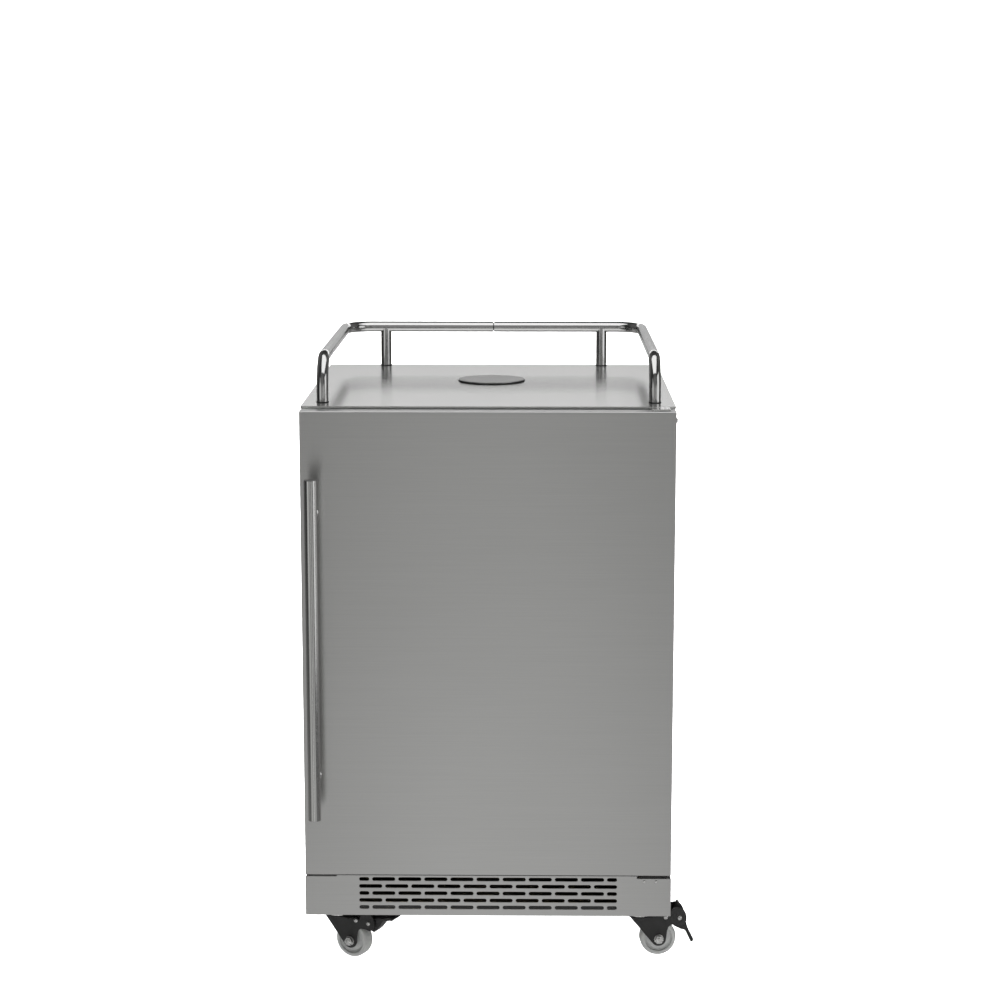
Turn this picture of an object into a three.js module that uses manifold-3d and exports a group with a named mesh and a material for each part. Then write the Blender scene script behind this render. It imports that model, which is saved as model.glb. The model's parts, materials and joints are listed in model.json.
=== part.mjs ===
// Kegerator: an undercounter keg cooler on casters, with a guard rail round its worktop.
// Millimetres, +Z up. While it is being built, X runs to the right of someone who faces the door,
// Y runs from the door's front face to the back, and the floor is at Z = 0. The last lines move
// the whole object sideways, so that its origin lies under the middle of its box.

import * as THREE from "three";
import { mergeVertices } from "three/addons/utils/BufferGeometryUtils.js";
import Module from "manifold-3d";

const wasm = await Module();
wasm.setup();

// ---------- Driving dimensions ----------

const FIT = 0.3; // gap kept between pieces that touch
const SHEET = 1.5; // steel sheet of the casing

// Worktop
const WORKTOP_Z = 929; // its upper face
const WORKTOP_THICKNESS = 3;
const WORKTOP_HALF = 297.5; // half its width
const WORKTOP_FRONT = 39.4;
const WORKTOP_BACK = 621;
const WORKTOP_CORNER_R = 1;
const SEAT_DEPTH = 0.3; // pressed seats for the rail's washers and the tower hole's gasket

// Cabinet
const HALF = 296; // half the width of cabinet and door
const FRONT = 39.7; // face that the door's gasket meets
const BACK = 618;
const BASE_Z = 95; // underside of the base
const CEILING_Z = WORKTOP_Z - WORKTOP_THICKNESS - FIT;
const BASE_THICKNESS = 2.5;

// Keg compartment: inner faces of the liner, and the step over the compressor
const LINER = 2;
const KEG_HALF = 254;
const KEG_FLOOR = 207;
const KEG_CEILING = 882;
const KEG_BACK = 573;
const STEP_FRONT = 460;
const STEP_TOP = 338;
const FOAM_FLOOR = 162; // underside of the insulated floor, above the airway
const MACHINE_FRONT = 496; // compressor compartment
const MACHINE_TOP = 300;
const INLET_HALF = 235; // half the width of the airway behind the kick grille
const VENT_HALF = 75; // back panel's air slots
const VENT_HEIGHT = 8;
const VENT_X = [-190, 0, 190];
const VENT_ROWS = [180, 205, 230, 255, 280];

// Plate that the keg stands on
const KEG_PLATE_HALF = 235;
const KEG_PLATE_Y = [52, 450];
const RIB_PITCH = 60;
const RIB_COUNT = 7;
const RIB_WIDTH = 8;

// Door
const DOOR_TOP = 926;
const DOOR_BOTTOM = 169;
const DOOR_BACK = 28;
const DOOR_LINER = 3;
const HINGE_X = 281;
const HINGE_Y = 16;
const PIN_R = 4;
const HINGE_SHEET = 2.5;
const GASKET_OUTER = 273; // half width
const GASKET_WIDTH = 16;
const GASKET_TOP = 901;
const GASKET_BOTTOM = 188;

// Door handle
const HANDLE_R = 10;
const HANDLE_X = -275;
const HANDLE_Y = -50;
const HANDLE_Z = [276, 825];
const STANDOFF_R = 6.5;
const STANDOFF_INSET = 60; // from each end of the bar
const HANDLE_SCREW_R = 3;
const HANDLE_SCREW_LENGTH = 13;

// Plug in the spare hole in the door's hinge-side edge
const PLUG_R = 3.8;
const PLUG_SHANK_R = 2;
const PLUG_YZ = [14, 911];

// Kick grille
const GRILLE_HALF = 296.3;
const GRILLE_Z = [100.7, 168.3];
const GRILLE_DEPTH = 36;
const SLOT_LENGTH = 37.3;
const SLOT_END_LENGTH = 16;
const SLOT_HEIGHT = 6;
const SLOT_PITCH = 42.3;
const SLOT_FIELD = 417.6;
const SLOT_ROWS = [161.9, 150, 138.1, 126.2, 114.3];
const LEFT_NOTCH = [245.5, 2]; // where it starts, and how deep it is
const RIGHT_NOTCH = [241, 4.3];
const SCREW_HOLE_R = 1.9;

// Guard rail
const RAIL_R = 9.5;
const RAIL_Z = WORKTOP_Z + 70.5; // height of the tube's axis
const RAIL_X = 266;
const RAIL_FRONT = 88;
const RAIL_BACK = 608;
const RAIL_BEND = 48;
const BACK_POST_X = 195;
const POST_R = 9.2; // rear posts, welded under the tube
const WASHER_R = RAIL_R + 0.8;
const WASHER_TOP = WORKTOP_Z + 1.3;
const STUD_R = 3;
const STUD_HOLE_R = STUD_R + 0.5;
const STUD_BOTTOM = 912;
const NUT_ROOM_R = 7;
const SLEEVE_R = 7;
const SLEEVE_HALF = 15;

// Tower hole in the worktop, and its cover
const TOWER_Y = 375;
const TOWER_R = 38;
const CAP_R = 56;
const CAP_THICKNESS = 1.6;
const CAP_GASKET_R = 57.2;
const CAP_GASKET_TOP = WORKTOP_Z + 1.7;

// Casters, measured from the floor and from the swivel axis
const CASTER_X = 251;
const CASTER_FRONT_Y = 100;
const CASTER_REAR_Y = 560;
const TRAIL = 30; // swivel axis to wheel axle
const WHEEL_R = 30;
const WHEEL_HALF_WIDTH = 12.3;
const WHEEL_SIDES = 24;
const AXLE_R = 4;
const FORK_INNER = 13; // half the gap between the fork's legs
const FORK_SHEET = 2.4;
const FORK_OUTER = FORK_INNER + FORK_SHEET;
const CROWN_Z = [66.5, 69.5];
const BRAKE_PIVOT = [65, 65];
const BRAKE_SWING = 80; // degrees from locked to released
const RIVETS = [BRAKE_PIVOT, [41.5, 67]];
const RIVET_R = 3.8;
const BOSS_R = 9;
const BOSS_TOP = BASE_Z + 23;
const STEM_R = 5;

// ---------- Materials ----------

function finish(color, roughness, metalness) {
  return new THREE.MeshStandardMaterial({ color, roughness, metalness });
}

const STAINLESS = finish(0xa9a9a6, 0.35, 1);
const POLISHED = finish(0xc9c9c7, 0.15, 1);
const ZINC = finish(0xd0d0ce, 0.3, 1);
const GALVANISED = finish(0x9c9f9f, 0.5, 1);
const BLACK_STEEL = finish(0x1d1d1d, 0.5, 0.3);
const COMPRESSOR_BLACK = finish(0x141414, 0.4, 0.2);
const ALUMINIUM = finish(0xb8bcbe, 0.4, 1);
const BLACK_RUBBER = finish(0x151515, 0.8, 0);
const GREY_RUBBER = finish(0x9b9b98, 0.6, 0);
const LINER_PLASTIC = finish(0xe6e6e3, 0.5, 0);
const BLACK_PLASTIC = finish(0x1b1b1c, 0.45, 0);
const FOAM = finish(0xe2cf9a, 0.9, 0);
const LAMP_PLASTIC = finish(0xf2f2ee, 0.3, 0);

// ---------- Solids ----------

// A closed three.js geometry as a solid. A profile drawn the other way round comes out
// inside out, and its triangles are turned over.
function solid(geometry) {
  const bare = geometry.index ? geometry.toNonIndexed() : geometry.clone();
  bare.deleteAttribute("normal");
  bare.deleteAttribute("uv");
  const merged = mergeVertices(bare, 1e-4);
  const vertProperties = merged.attributes.position.array;
  const triVerts = new Uint32Array(merged.index.array);
  const made = new wasm.Manifold(new wasm.Mesh({ numProp: 3, vertProperties, triVerts }));
  if (made.volume() > 0) return made;
  return new wasm.Manifold(
    new wasm.Mesh({ numProp: 3, vertProperties, triVerts: triVerts.reverse() }),
  );
}

function join(first, ...others) {
  return others.reduce((whole, part) => whole.add(part), first);
}

function cut(first, ...others) {
  return others.reduce((whole, part) => whole.subtract(part), first);
}

function block([x0, x1], [y0, y1], [z0, z1]) {
  const box = new THREE.BoxGeometry(x1 - x0, y1 - y0, z1 - z0);
  return solid(box.translate((x0 + x1) / 2, (y0 + y1) / 2, (z0 + z1) / 2));
}

// A round bar along one axis; centre holds its place on the other two axes, in X, Y, Z order.
function rod(axis, radius, [from, to], centre, sides = 24) {
  const bar = new THREE.CylinderGeometry(radius, radius, to - from, sides);
  const middle = (from + to) / 2;
  if (axis === "x") bar.rotateZ(Math.PI / 2).translate(middle, centre[0], centre[1]);
  if (axis === "y") bar.translate(centre[0], middle, centre[1]);
  if (axis === "z") bar.rotateX(Math.PI / 2).translate(centre[0], centre[1], middle);
  return solid(bar);
}

// A solid of revolution about the vertical line through centre; the profile is a list of
// [radius, height] that starts and ends on the axis.
function turned(profile, centre, sides = 24) {
  const points = profile.map(([r, z]) => new THREE.Vector2(r, z));
  const geometry = new THREE.LatheGeometry(points, sides).rotateX(Math.PI / 2);
  return solid(geometry.translate(centre[0], centre[1], 0));
}

function shapeOf(points) {
  return new THREE.Shape(points.map(([a, b]) => new THREE.Vector2(a, b)));
}

// A shape drawn in X and Z, given depth along Y.
function frontPlate(shape, [y0, y1], curveSegments = 6) {
  const depth = y1 - y0;
  const plate = new THREE.ExtrudeGeometry(shape, { depth, bevelEnabled: false, curveSegments });
  return solid(plate.rotateX(Math.PI / 2).translate(0, y1, 0));
}

// A shape drawn in Y and Z, given width along X.
function sideProfile(shape, [x0, x1]) {
  const prism = new THREE.ExtrudeGeometry(shape, { depth: x1 - x0, bevelEnabled: false });
  return solid(prism.rotateX(Math.PI / 2).rotateZ(Math.PI / 2).translate(x0, 0, 0));
}

function piece(name, body, material, parent) {
  const { vertProperties, triVerts } = body.getMesh();
  const indexed = new THREE.BufferGeometry();
  indexed.setAttribute("position", new THREE.BufferAttribute(vertProperties, 3));
  indexed.setIndex(new THREE.BufferAttribute(triVerts, 1));
  const geometry = indexed.toNonIndexed();
  geometry.computeVertexNormals();
  const mesh = new THREE.Mesh(geometry, material);
  mesh.name = name;
  parent.add(mesh);
  return mesh;
}

// ---------- Bent tube ----------

// Straight runs joined by round bends. A run takes one step and a bend a few even ones, so
// the path's own parameter is used in place of its arc length.
class BentPath extends THREE.Curve {
  constructor(corners, bendRadius, bendSteps) {
    super();
    this.stops = [corners[0]];
    for (let i = 1; i < corners.length - 1; i += 1) {
      this.stops.push(...roundedCorner(corners.slice(i - 1, i + 2), bendRadius, bendSteps));
    }
    this.stops.push(corners[corners.length - 1]);
  }

  getPoint(t, target = new THREE.Vector3()) {
    const along = t * (this.stops.length - 1);
    const index = Math.min(Math.floor(along), this.stops.length - 2);
    return target.lerpVectors(this.stops[index], this.stops[index + 1], along - index);
  }

  getPointAt(u, target) {
    return this.getPoint(u, target);
  }

  getTangentAt(u, target) {
    return this.getTangent(u, target);
  }
}

// Points on the quarter circle that rounds off a right-angled corner.
function roundedCorner([before, corner, after], radius, steps) {
  const inward = before.clone().sub(corner).setLength(radius);
  const outward = after.clone().sub(corner).setLength(radius);
  const centre = corner.clone().add(inward).add(outward);
  const points = [];
  for (let i = 0; i <= steps; i += 1) {
    const turn = (i / steps) * (Math.PI / 2);
    const point = centre.clone();
    point.addScaledVector(outward, -Math.cos(turn));
    point.addScaledVector(inward, -Math.sin(turn));
    points.push(point);
  }
  return points;
}

function bentTube(corners, bendRadius, radius) {
  const path = new BentPath(corners, bendRadius, 6);
  const section = new THREE.Shape().absarc(0, 0, radius, 0, 2 * Math.PI);
  const tube = new THREE.ExtrudeGeometry(section, {
    steps: path.stops.length - 1,
    curveSegments: 8,
    extrudePath: path,
  });
  return solid(tube);
}

// ---------- Places that several pieces share ----------

const SIDES = [
  ["left", -1],
  ["right", 1],
];
const RAIL_FEET = SIDES.flatMap(([side, sign]) => [
  { name: "front_" + side, x: sign * RAIL_X, y: RAIL_FRONT },
  { name: "rear_" + side, x: sign * BACK_POST_X, y: RAIL_BACK },
]);
const CASTERS = [
  { name: "front_left", x: -CASTER_X, y: CASTER_FRONT_Y, yaw: -26, brake: BRAKE_SWING },
  { name: "front_right", x: CASTER_X, y: CASTER_FRONT_Y, yaw: 6, brake: 0 },
  { name: "rear_left", x: -CASTER_X, y: CASTER_REAR_Y, yaw: 18 },
  { name: "rear_right", x: CASTER_X, y: CASTER_REAR_Y, yaw: -12 },
];
const STANDOFF_Z = [HANDLE_Z[0] + STANDOFF_INSET, HANDLE_Z[1] - STANDOFF_INSET];
const GRILLE_SCREW_X = [253.3, 272.7];
const GRILLE_SCREW_Z = 159;
const CORD_X = 40;
const CORD_Z = 125;
const GLAND_NECK_R = 7.6;

const kegerator = new THREE.Group();

// ---------- Cabinet ----------

// Drilled holes for the rail's studs, wide enough for their nuts where radius says so.
function studHoles(radius, [z0, z1]) {
  return RAIL_FEET.map(({ x, y }) => rod("z", radius, [z0, z1], [x, y], 10));
}

// The keg compartment's side view, grown outwards by some thickness; it starts at front.
function kegSpace(grow, front) {
  return shapeOf([
    [front, KEG_FLOOR - grow],
    [STEP_FRONT + grow, KEG_FLOOR - grow],
    [STEP_FRONT + grow, STEP_TOP - grow],
    [KEG_BACK + grow, STEP_TOP - grow],
    [KEG_BACK + grow, KEG_CEILING + grow],
    [front, KEG_CEILING + grow],
  ]);
}

// Steel wrapper: both sides, the top and the frame round the door opening.
function cabinetShell() {
  const outside = block([-HALF, HALF], [FRONT, BACK], [BASE_Z, CEILING_Z]);
  const inner = HALF - SHEET;
  const inside = block([-inner, inner], [FRONT + SHEET, BACK + 1], [BASE_Z - 1, CEILING_Z - SHEET]);
  const edge = LINER + FIT;
  const doorway = block(
    [-KEG_HALF - edge, KEG_HALF + edge],
    [FRONT - 1, FRONT + SHEET + 1],
    [KEG_FLOOR - edge, KEG_CEILING + edge],
  );
  const airInlet = block(
    [-INLET_HALF, INLET_HALF],
    [FRONT - 1, FRONT + SHEET + 1],
    [BASE_Z + 8, FOAM_FLOOR - 6],
  );
  const towerHole = rod("z", TOWER_R, [CEILING_Z - 5, CEILING_Z + 1], [0, TOWER_Y], 32);
  const studs = studHoles(STUD_HOLE_R, [CEILING_Z - 5, CEILING_Z + 1]);
  piece(
    "cabinet_shell",
    cut(outside, inside, doorway, airInlet, towerHole, ...studs),
    STAINLESS,
    kegerator,
  );
}

// Rows of air slots over the compressor compartment, and the mains cable's hole.
function backPanel() {
  const half = HALF - SHEET - FIT;
  const y = [BACK - SHEET - 0.2, BACK - 0.2];
  let panel = block([-half, half], y, [BASE_Z + BASE_THICKNESS + FIT, CEILING_Z - SHEET - FIT]);
  const through = [y[0] - 1, y[1] + 1];
  const reach = VENT_HEIGHT / 2;
  for (const z of VENT_ROWS) {
    for (const x of VENT_X) {
      panel = cut(panel, block([x - VENT_HALF, x + VENT_HALF], through, [z - reach, z + reach]));
    }
  }
  panel = cut(panel, rod("y", GLAND_NECK_R + 0.4, through, [CORD_X, CORD_Z], 16));
  piece("back_panel", panel, GALVANISED, kegerator);
}

// Pan under the cabinet, with a threaded boss for each caster's stem.
function basePan() {
  const half = HALF - SHEET - FIT;
  let pan = block(
    [-half, half],
    [FRONT + SHEET + FIT, BACK - 2],
    [BASE_Z, BASE_Z + BASE_THICKNESS],
  );
  for (const { x, y } of CASTERS) {
    pan = join(pan, rod("z", BOSS_R, [BASE_Z + 1, BOSS_TOP], [x, y], 12));
    pan = cut(pan, rod("z", STEM_R + FIT, [BASE_Z - 1, BOSS_TOP - 2], [x, y], 12));
  }
  piece("base_pan", pan, GALVANISED, kegerator);
}

// Foam that fills the walls between shell and liner, stepped over the compressor.
function cabinetFoam() {
  const half = HALF - SHEET - FIT;
  const walls = sideProfile(
    shapeOf([
      [FRONT + SHEET + FIT, FOAM_FLOOR],
      [MACHINE_FRONT, FOAM_FLOOR],
      [MACHINE_FRONT, MACHINE_TOP],
      [BACK - 2, MACHINE_TOP],
      [BACK - 2, CEILING_Z - SHEET - FIT],
      [FRONT + SHEET + FIT, CEILING_Z - SHEET - FIT],
    ]),
    [-half, half],
  );
  const room = KEG_HALF + LINER + FIT;
  const hollow = sideProfile(kegSpace(LINER + FIT, FRONT - 1), [-room, room]);
  const towerHole = rod("z", TOWER_R, [KEG_CEILING - 5, WORKTOP_Z], [0, TOWER_Y], 32);
  const nutRoom = studHoles(NUT_ROOM_R, [STUD_BOTTOM - 4, WORKTOP_Z]);
  piece("cabinet_foam", cut(walls, hollow, towerHole, ...nutRoom), FOAM, kegerator);
}

function innerLiner() {
  const outside = KEG_HALF + LINER;
  const tub = sideProfile(kegSpace(LINER, FRONT), [-outside, outside]);
  const hollow = sideProfile(kegSpace(0, FRONT - 1), [-KEG_HALF, KEG_HALF]);
  const towerHole = rod("z", TOWER_R, [KEG_CEILING - 1, KEG_CEILING + 5], [0, TOWER_Y], 32);
  piece("inner_liner", cut(tub, hollow, towerHole), LINER_PLASTIC, kegerator);
}

// Ribbed steel plate that the keg stands on.
function kegFloorPlate() {
  const z = KEG_FLOOR + FIT;
  const ribY = [KEG_PLATE_Y[0] + 28, KEG_PLATE_Y[1] - 28];
  let plate = block([-KEG_PLATE_HALF, KEG_PLATE_HALF], KEG_PLATE_Y, [z, z + SHEET]);
  for (let i = 0; i < RIB_COUNT; i += 1) {
    const left = (i - (RIB_COUNT - 1) / 2) * RIB_PITCH - RIB_WIDTH / 2;
    plate = join(plate, block([left, left + RIB_WIDTH], ribY, [z + 1, z + 2 * SHEET]));
  }
  piece("keg_floor_plate", plate, STAINLESS, kegerator);
}

// Flat sheet with rounded corners. The washers and the gasket lie in shallow seats pressed
// into it, so that the face round them is clear.
function worktop() {
  const outline = new THREE.Shape();
  const r = WORKTOP_CORNER_R;
  outline.absarc(-WORKTOP_HALF + r, WORKTOP_FRONT + r, r, Math.PI, 1.5 * Math.PI);
  outline.absarc(WORKTOP_HALF - r, WORKTOP_FRONT + r, r, 1.5 * Math.PI, 2 * Math.PI);
  outline.absarc(WORKTOP_HALF - r, WORKTOP_BACK - r, r, 0, 0.5 * Math.PI);
  outline.absarc(-WORKTOP_HALF + r, WORKTOP_BACK - r, r, 0.5 * Math.PI, Math.PI);
  const slab = new THREE.ExtrudeGeometry(outline, {
    depth: WORKTOP_THICKNESS,
    bevelEnabled: false,
    curveSegments: 3,
  });
  slab.translate(0, 0, WORKTOP_Z - WORKTOP_THICKNESS);
  const through = [WORKTOP_Z - 5, WORKTOP_Z + 1];
  const towerHole = rod("z", TOWER_R, through, [0, TOWER_Y], 32);
  const seat = [WORKTOP_Z - SEAT_DEPTH, WORKTOP_Z + 1];
  const holes = [
    towerHole,
    rod("z", CAP_GASKET_R + FIT, seat, [0, TOWER_Y], 40),
    ...studHoles(STUD_HOLE_R, through),
    ...RAIL_FEET.map(({ x, y }) => rod("z", WASHER_R + FIT, seat, [x, y], 16)),
  ];
  piece("worktop", cut(solid(slab), ...holes), STAINLESS, kegerator);
}

// Disc and gasket that close the tower hole until a tap tower is fitted.
function towerHoleCover() {
  const ring = [WORKTOP_Z - SEAT_DEPTH + FIT, CAP_GASKET_TOP];
  const gasket = cut(
    rod("z", CAP_GASKET_R, ring, [0, TOWER_Y], 40),
    rod("z", TOWER_R + 2, [ring[0] - 1, ring[1] + 1], [0, TOWER_Y], 40),
  );
  piece("tower_cap_gasket", gasket, BLACK_RUBBER, kegerator);
  const z = ring[1] + FIT;
  const cap = turned(
    [
      [0, z],
      [CAP_R, z],
      [CAP_R, z + CAP_THICKNESS - 0.6],
      [CAP_R - 0.6, z + CAP_THICKNESS],
      [0, z + CAP_THICKNESS],
    ],
    [0, TOWER_Y],
    40,
  );
  piece("tower_hole_cap", cap, STAINLESS, kegerator);
}

// ---------- Guard rail ----------

// Half of the rail: front post, side, rear corner and half of the back, with its rear post
// and the studs that hold both posts down. The halves meet over an inner sleeve.
function railHalf(side, sign) {
  const foot = WASHER_TOP + FIT;
  const seam = sign * 0.8;
  const tube = bentTube(
    [
      new THREE.Vector3(sign * RAIL_X, RAIL_FRONT, foot),
      new THREE.Vector3(sign * RAIL_X, RAIL_FRONT, RAIL_Z),
      new THREE.Vector3(sign * RAIL_X, RAIL_BACK, RAIL_Z),
      new THREE.Vector3(seam, RAIL_BACK, RAIL_Z),
    ],
    RAIL_BEND,
    RAIL_R,
  );
  const post = rod("z", POST_R, [foot, RAIL_Z - 3], [sign * BACK_POST_X, RAIL_BACK], 18);
  const studs = [
    rod("z", STUD_R, [STUD_BOTTOM, foot + 2], [sign * RAIL_X, RAIL_FRONT], 10),
    rod("z", STUD_R, [STUD_BOTTOM, foot + 2], [sign * BACK_POST_X, RAIL_BACK], 10),
  ];
  const reach = SLEEVE_HALF + 1;
  const bore = rod("x", SLEEVE_R + FIT, [-reach, reach], [RAIL_BACK, RAIL_Z], 16);
  piece("rail_" + side, cut(join(tube, post, ...studs), bore), POLISHED, kegerator);
}

function guardRail() {
  for (const [side, sign] of SIDES) railHalf(side, sign);
  const sleeve = rod("x", SLEEVE_R, [-SLEEVE_HALF, SLEEVE_HALF], [RAIL_BACK, RAIL_Z], 16);
  piece("rail_joint_sleeve", sleeve, BLACK_PLASTIC, kegerator);
  for (const { name, x, y } of RAIL_FEET) {
    const z = WORKTOP_Z - SEAT_DEPTH + FIT;
    const washer = cut(
      rod("z", WASHER_R, [z, WASHER_TOP], [x, y], 16),
      rod("z", STUD_HOLE_R, [z - 1, WASHER_TOP + 1], [x, y], 10),
    );
    piece("rail_washer_" + name, washer, BLACK_RUBBER, kegerator);
  }
}

// ---------- Kick grille ----------

function slotHole(x, z, length) {
  const r = SLOT_HEIGHT / 2;
  const reach = length / 2 - r;
  const hole = new THREE.Path();
  hole.absarc(x + reach, z, r, -Math.PI / 2, Math.PI / 2);
  hole.absarc(x - reach, z, r, Math.PI / 2, 1.5 * Math.PI);
  hole.closePath();
  return hole;
}

// Every other row is shifted by half a pitch, and is filled up with a short slot at each end.
function slotRow(z, row) {
  const shifted = row % 2 === 0;
  const count = shifted ? 9 : 10;
  const holes = [];
  for (let i = 0; i < count; i += 1) {
    holes.push(slotHole((i - (count - 1) / 2) * SLOT_PITCH, z, SLOT_LENGTH));
  }
  if (shifted) {
    const end = (SLOT_FIELD - SLOT_END_LENGTH) / 2;
    holes.push(slotHole(-end, z, SLOT_END_LENGTH), slotHole(end, z, SLOT_END_LENGTH));
  }
  return holes;
}

// Folded sheet: slotted face, two side returns and a bottom return. The face is cut back at
// both upper corners, and the lower hinge shows in the right-hand cut.
function kickGrille() {
  const [bottom, top] = GRILLE_Z;
  const face = shapeOf([
    [-GRILLE_HALF, bottom],
    [GRILLE_HALF, bottom],
    [GRILLE_HALF, top - RIGHT_NOTCH[1]],
    [RIGHT_NOTCH[0], top - RIGHT_NOTCH[1]],
    [RIGHT_NOTCH[0], top],
    [-LEFT_NOTCH[0], top],
    [-LEFT_NOTCH[0], top - LEFT_NOTCH[1]],
    [-GRILLE_HALF, top - LEFT_NOTCH[1]],
  ]);
  face.holes = SLOT_ROWS.flatMap(slotRow);
  let grille = frontPlate(face, [0, SHEET], 2);
  for (const [, sign] of SIDES) {
    const x = [sign * GRILLE_HALF, sign * (GRILLE_HALF - SHEET)].sort((a, b) => a - b);
    grille = join(grille, block(x, [0.5, GRILLE_DEPTH], [bottom, top - 6]));
  }
  grille = join(
    grille,
    block([-GRILLE_HALF, GRILLE_HALF], [0.5, 20], [bottom, bottom + SHEET]),
  );
  for (const x of GRILLE_SCREW_X) {
    grille = cut(grille, rod("y", SCREW_HOLE_R, [-1, 3], [x, GRILLE_SCREW_Z], 10));
  }
  piece("kick_grille", grille, STAINLESS, kegerator);
  GRILLE_SCREW_X.forEach((x, i) => {
    const head = rod("y", 2.8, [-1.2, -FIT], [x, GRILLE_SCREW_Z], 16);
    const shank = rod("y", 1.5, [-0.5, 7], [x, GRILLE_SCREW_Z], 10);
    piece("grille_screw_" + SIDES[i][0], join(head, shank), ZINC, kegerator);
  });
}

// ---------- Door hinges ----------

// Bent plate over the door: a leaf that carries the pin, and a flange on the cabinet's frame.
function upperHinge() {
  const z = [DOOR_TOP + FIT, DOOR_TOP + FIT + HINGE_SHEET];
  const x = [HINGE_X - 24, HINGE_X + 6];
  const y = [HINGE_Y - 8, FRONT - FIT];
  const leaf = block(x, y, z);
  const flange = block(x, [y[1] - HINGE_SHEET, y[1]], [GASKET_TOP + 3, z[1]]);
  const pin = rod("z", PIN_R, [DOOR_TOP - 20, z[1] + 0.4], [HINGE_X, HINGE_Y], 20);
  piece("upper_hinge", join(leaf, flange, pin), ZINC, kegerator);
}

// The same below the door, with a tab at the front that the grille's screws hold.
function lowerHinge() {
  const z = [DOOR_BOTTOM - 1 - HINGE_SHEET, DOOR_BOTTOM - 1];
  const x = [HINGE_X - 35, HINGE_X + 9];
  const y = [2, FRONT - FIT];
  const leaf = block(x, y, z);
  const flange = block(x, [y[1] - HINGE_SHEET, y[1]], [DOOR_BOTTOM - 44, z[1]]);
  const tab = block([x[0], HINGE_X - 1], [y[0], y[0] + HINGE_SHEET], [GRILLE_SCREW_Z - 8, z[1]]);
  const pin = rod("z", PIN_R, [z[0], DOOR_BOTTOM + 20], [HINGE_X, HINGE_Y], 20);
  let hinge = join(leaf, flange, tab, pin);
  for (const screwX of GRILLE_SCREW_X) {
    hinge = cut(hinge, rod("y", SCREW_HOLE_R, [0, 6], [screwX, GRILLE_SCREW_Z], 10));
  }
  piece("lower_hinge", hinge, BLACK_STEEL, kegerator);
}

// ---------- Door ----------

const BUSH_R = PIN_R + 2.5;
const BUSH_LENGTH = 24;

// Space for each hinge pin's bush, from the door's edge inwards.
function bushBores(radius, length) {
  return [
    rod("z", radius, [DOOR_TOP - length, DOOR_TOP + 1], [HINGE_X, HINGE_Y], 20),
    rod("z", radius, [DOOR_BOTTOM - 1, DOOR_BOTTOM + length], [HINGE_X, HINGE_Y], 20),
  ];
}

function handleBores(radius, length) {
  return STANDOFF_Z.map((z) => rod("y", radius, [-1, length], [HANDLE_X, z], 12));
}

// Folded steel tray that makes the door's face and its four edges.
function doorSkin() {
  const back = DOOR_BACK - DOOR_LINER - FIT;
  const outside = block([-HALF, HALF], [0, back], [DOOR_BOTTOM, DOOR_TOP]);
  const inner = HALF - SHEET;
  const inside = block(
    [-inner, inner],
    [SHEET, back + 1],
    [DOOR_BOTTOM + SHEET, DOOR_TOP - SHEET],
  );
  const holes = [
    ...bushBores(BUSH_R + FIT, 5),
    ...handleBores(HANDLE_SCREW_R + FIT, 3),
    rod("x", PLUG_SHANK_R + FIT, [HALF - 3, HALF + 1], PLUG_YZ, 12),
  ];
  piece("door_skin", cut(outside, inside, ...holes), STAINLESS, kegerator);
}

function doorFoam() {
  const edge = SHEET + FIT;
  const filling = block(
    [-HALF + edge, HALF - edge],
    [edge, DOOR_BACK - DOOR_LINER - FIT],
    [DOOR_BOTTOM + edge, DOOR_TOP - edge],
  );
  const holes = [
    ...bushBores(BUSH_R + FIT, BUSH_LENGTH + 1),
    ...handleBores(HANDLE_SCREW_R + FIT, HANDLE_SCREW_LENGTH + 1),
    rod("x", PLUG_SHANK_R + FIT, [HALF - 12, HALF], PLUG_YZ, 12),
  ];
  piece("door_foam", cut(filling, ...holes), FOAM, kegerator);
}

// Moulded inner panel, raised inside the gasket.
function doorLiner() {
  const inset = 0.5;
  const half = HALF - inset;
  const panel = block(
    [-half, half],
    [DOOR_BACK - DOOR_LINER, DOOR_BACK],
    [DOOR_BOTTOM + inset, DOOR_TOP - inset],
  );
  const raisedHalf = GASKET_OUTER - GASKET_WIDTH - 15;
  const raisedZ = [GASKET_BOTTOM + 31, GASKET_TOP - 31];
  const raised = block([-raisedHalf, raisedHalf], [DOOR_BACK - 1, DOOR_BACK + 8], raisedZ);
  const recess = block([-150, 150], [DOOR_BACK + 2, DOOR_BACK + 9], [raisedZ[0] + 50, raisedZ[1] - 50]);
  piece("door_liner", cut(join(panel, raised), recess), LINER_PLASTIC, kegerator);
}

function doorGasket() {
  const y = [DOOR_BACK + FIT, FRONT - FIT];
  const inner = GASKET_OUTER - GASKET_WIDTH;
  const frame = cut(
    block([-GASKET_OUTER, GASKET_OUTER], y, [GASKET_BOTTOM, GASKET_TOP]),
    block(
      [-inner, inner],
      [y[0] - 1, y[1] + 1],
      [GASKET_BOTTOM + GASKET_WIDTH, GASKET_TOP - GASKET_WIDTH],
    ),
  );
  piece("door_gasket", frame, BLACK_RUBBER, kegerator);
}

function doorHandle() {
  const bar = rod("z", HANDLE_R, HANDLE_Z, [HANDLE_X, HANDLE_Y], 24);
  piece("handle_bar", bar, POLISHED, kegerator);
  const clearBar = rod("z", HANDLE_R + FIT, HANDLE_Z, [HANDLE_X, HANDLE_Y], 24);
  STANDOFF_Z.forEach((z, i) => {
    const post = cut(rod("y", STANDOFF_R, [HANDLE_Y, -FIT], [HANDLE_X, z], 20), clearBar);
    const screw = rod("y", HANDLE_SCREW_R, [-3, HANDLE_SCREW_LENGTH], [HANDLE_X, z], 10);
    piece("handle_standoff_" + ["lower", "upper"][i], join(post, screw), POLISHED, kegerator);
  });
}

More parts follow.
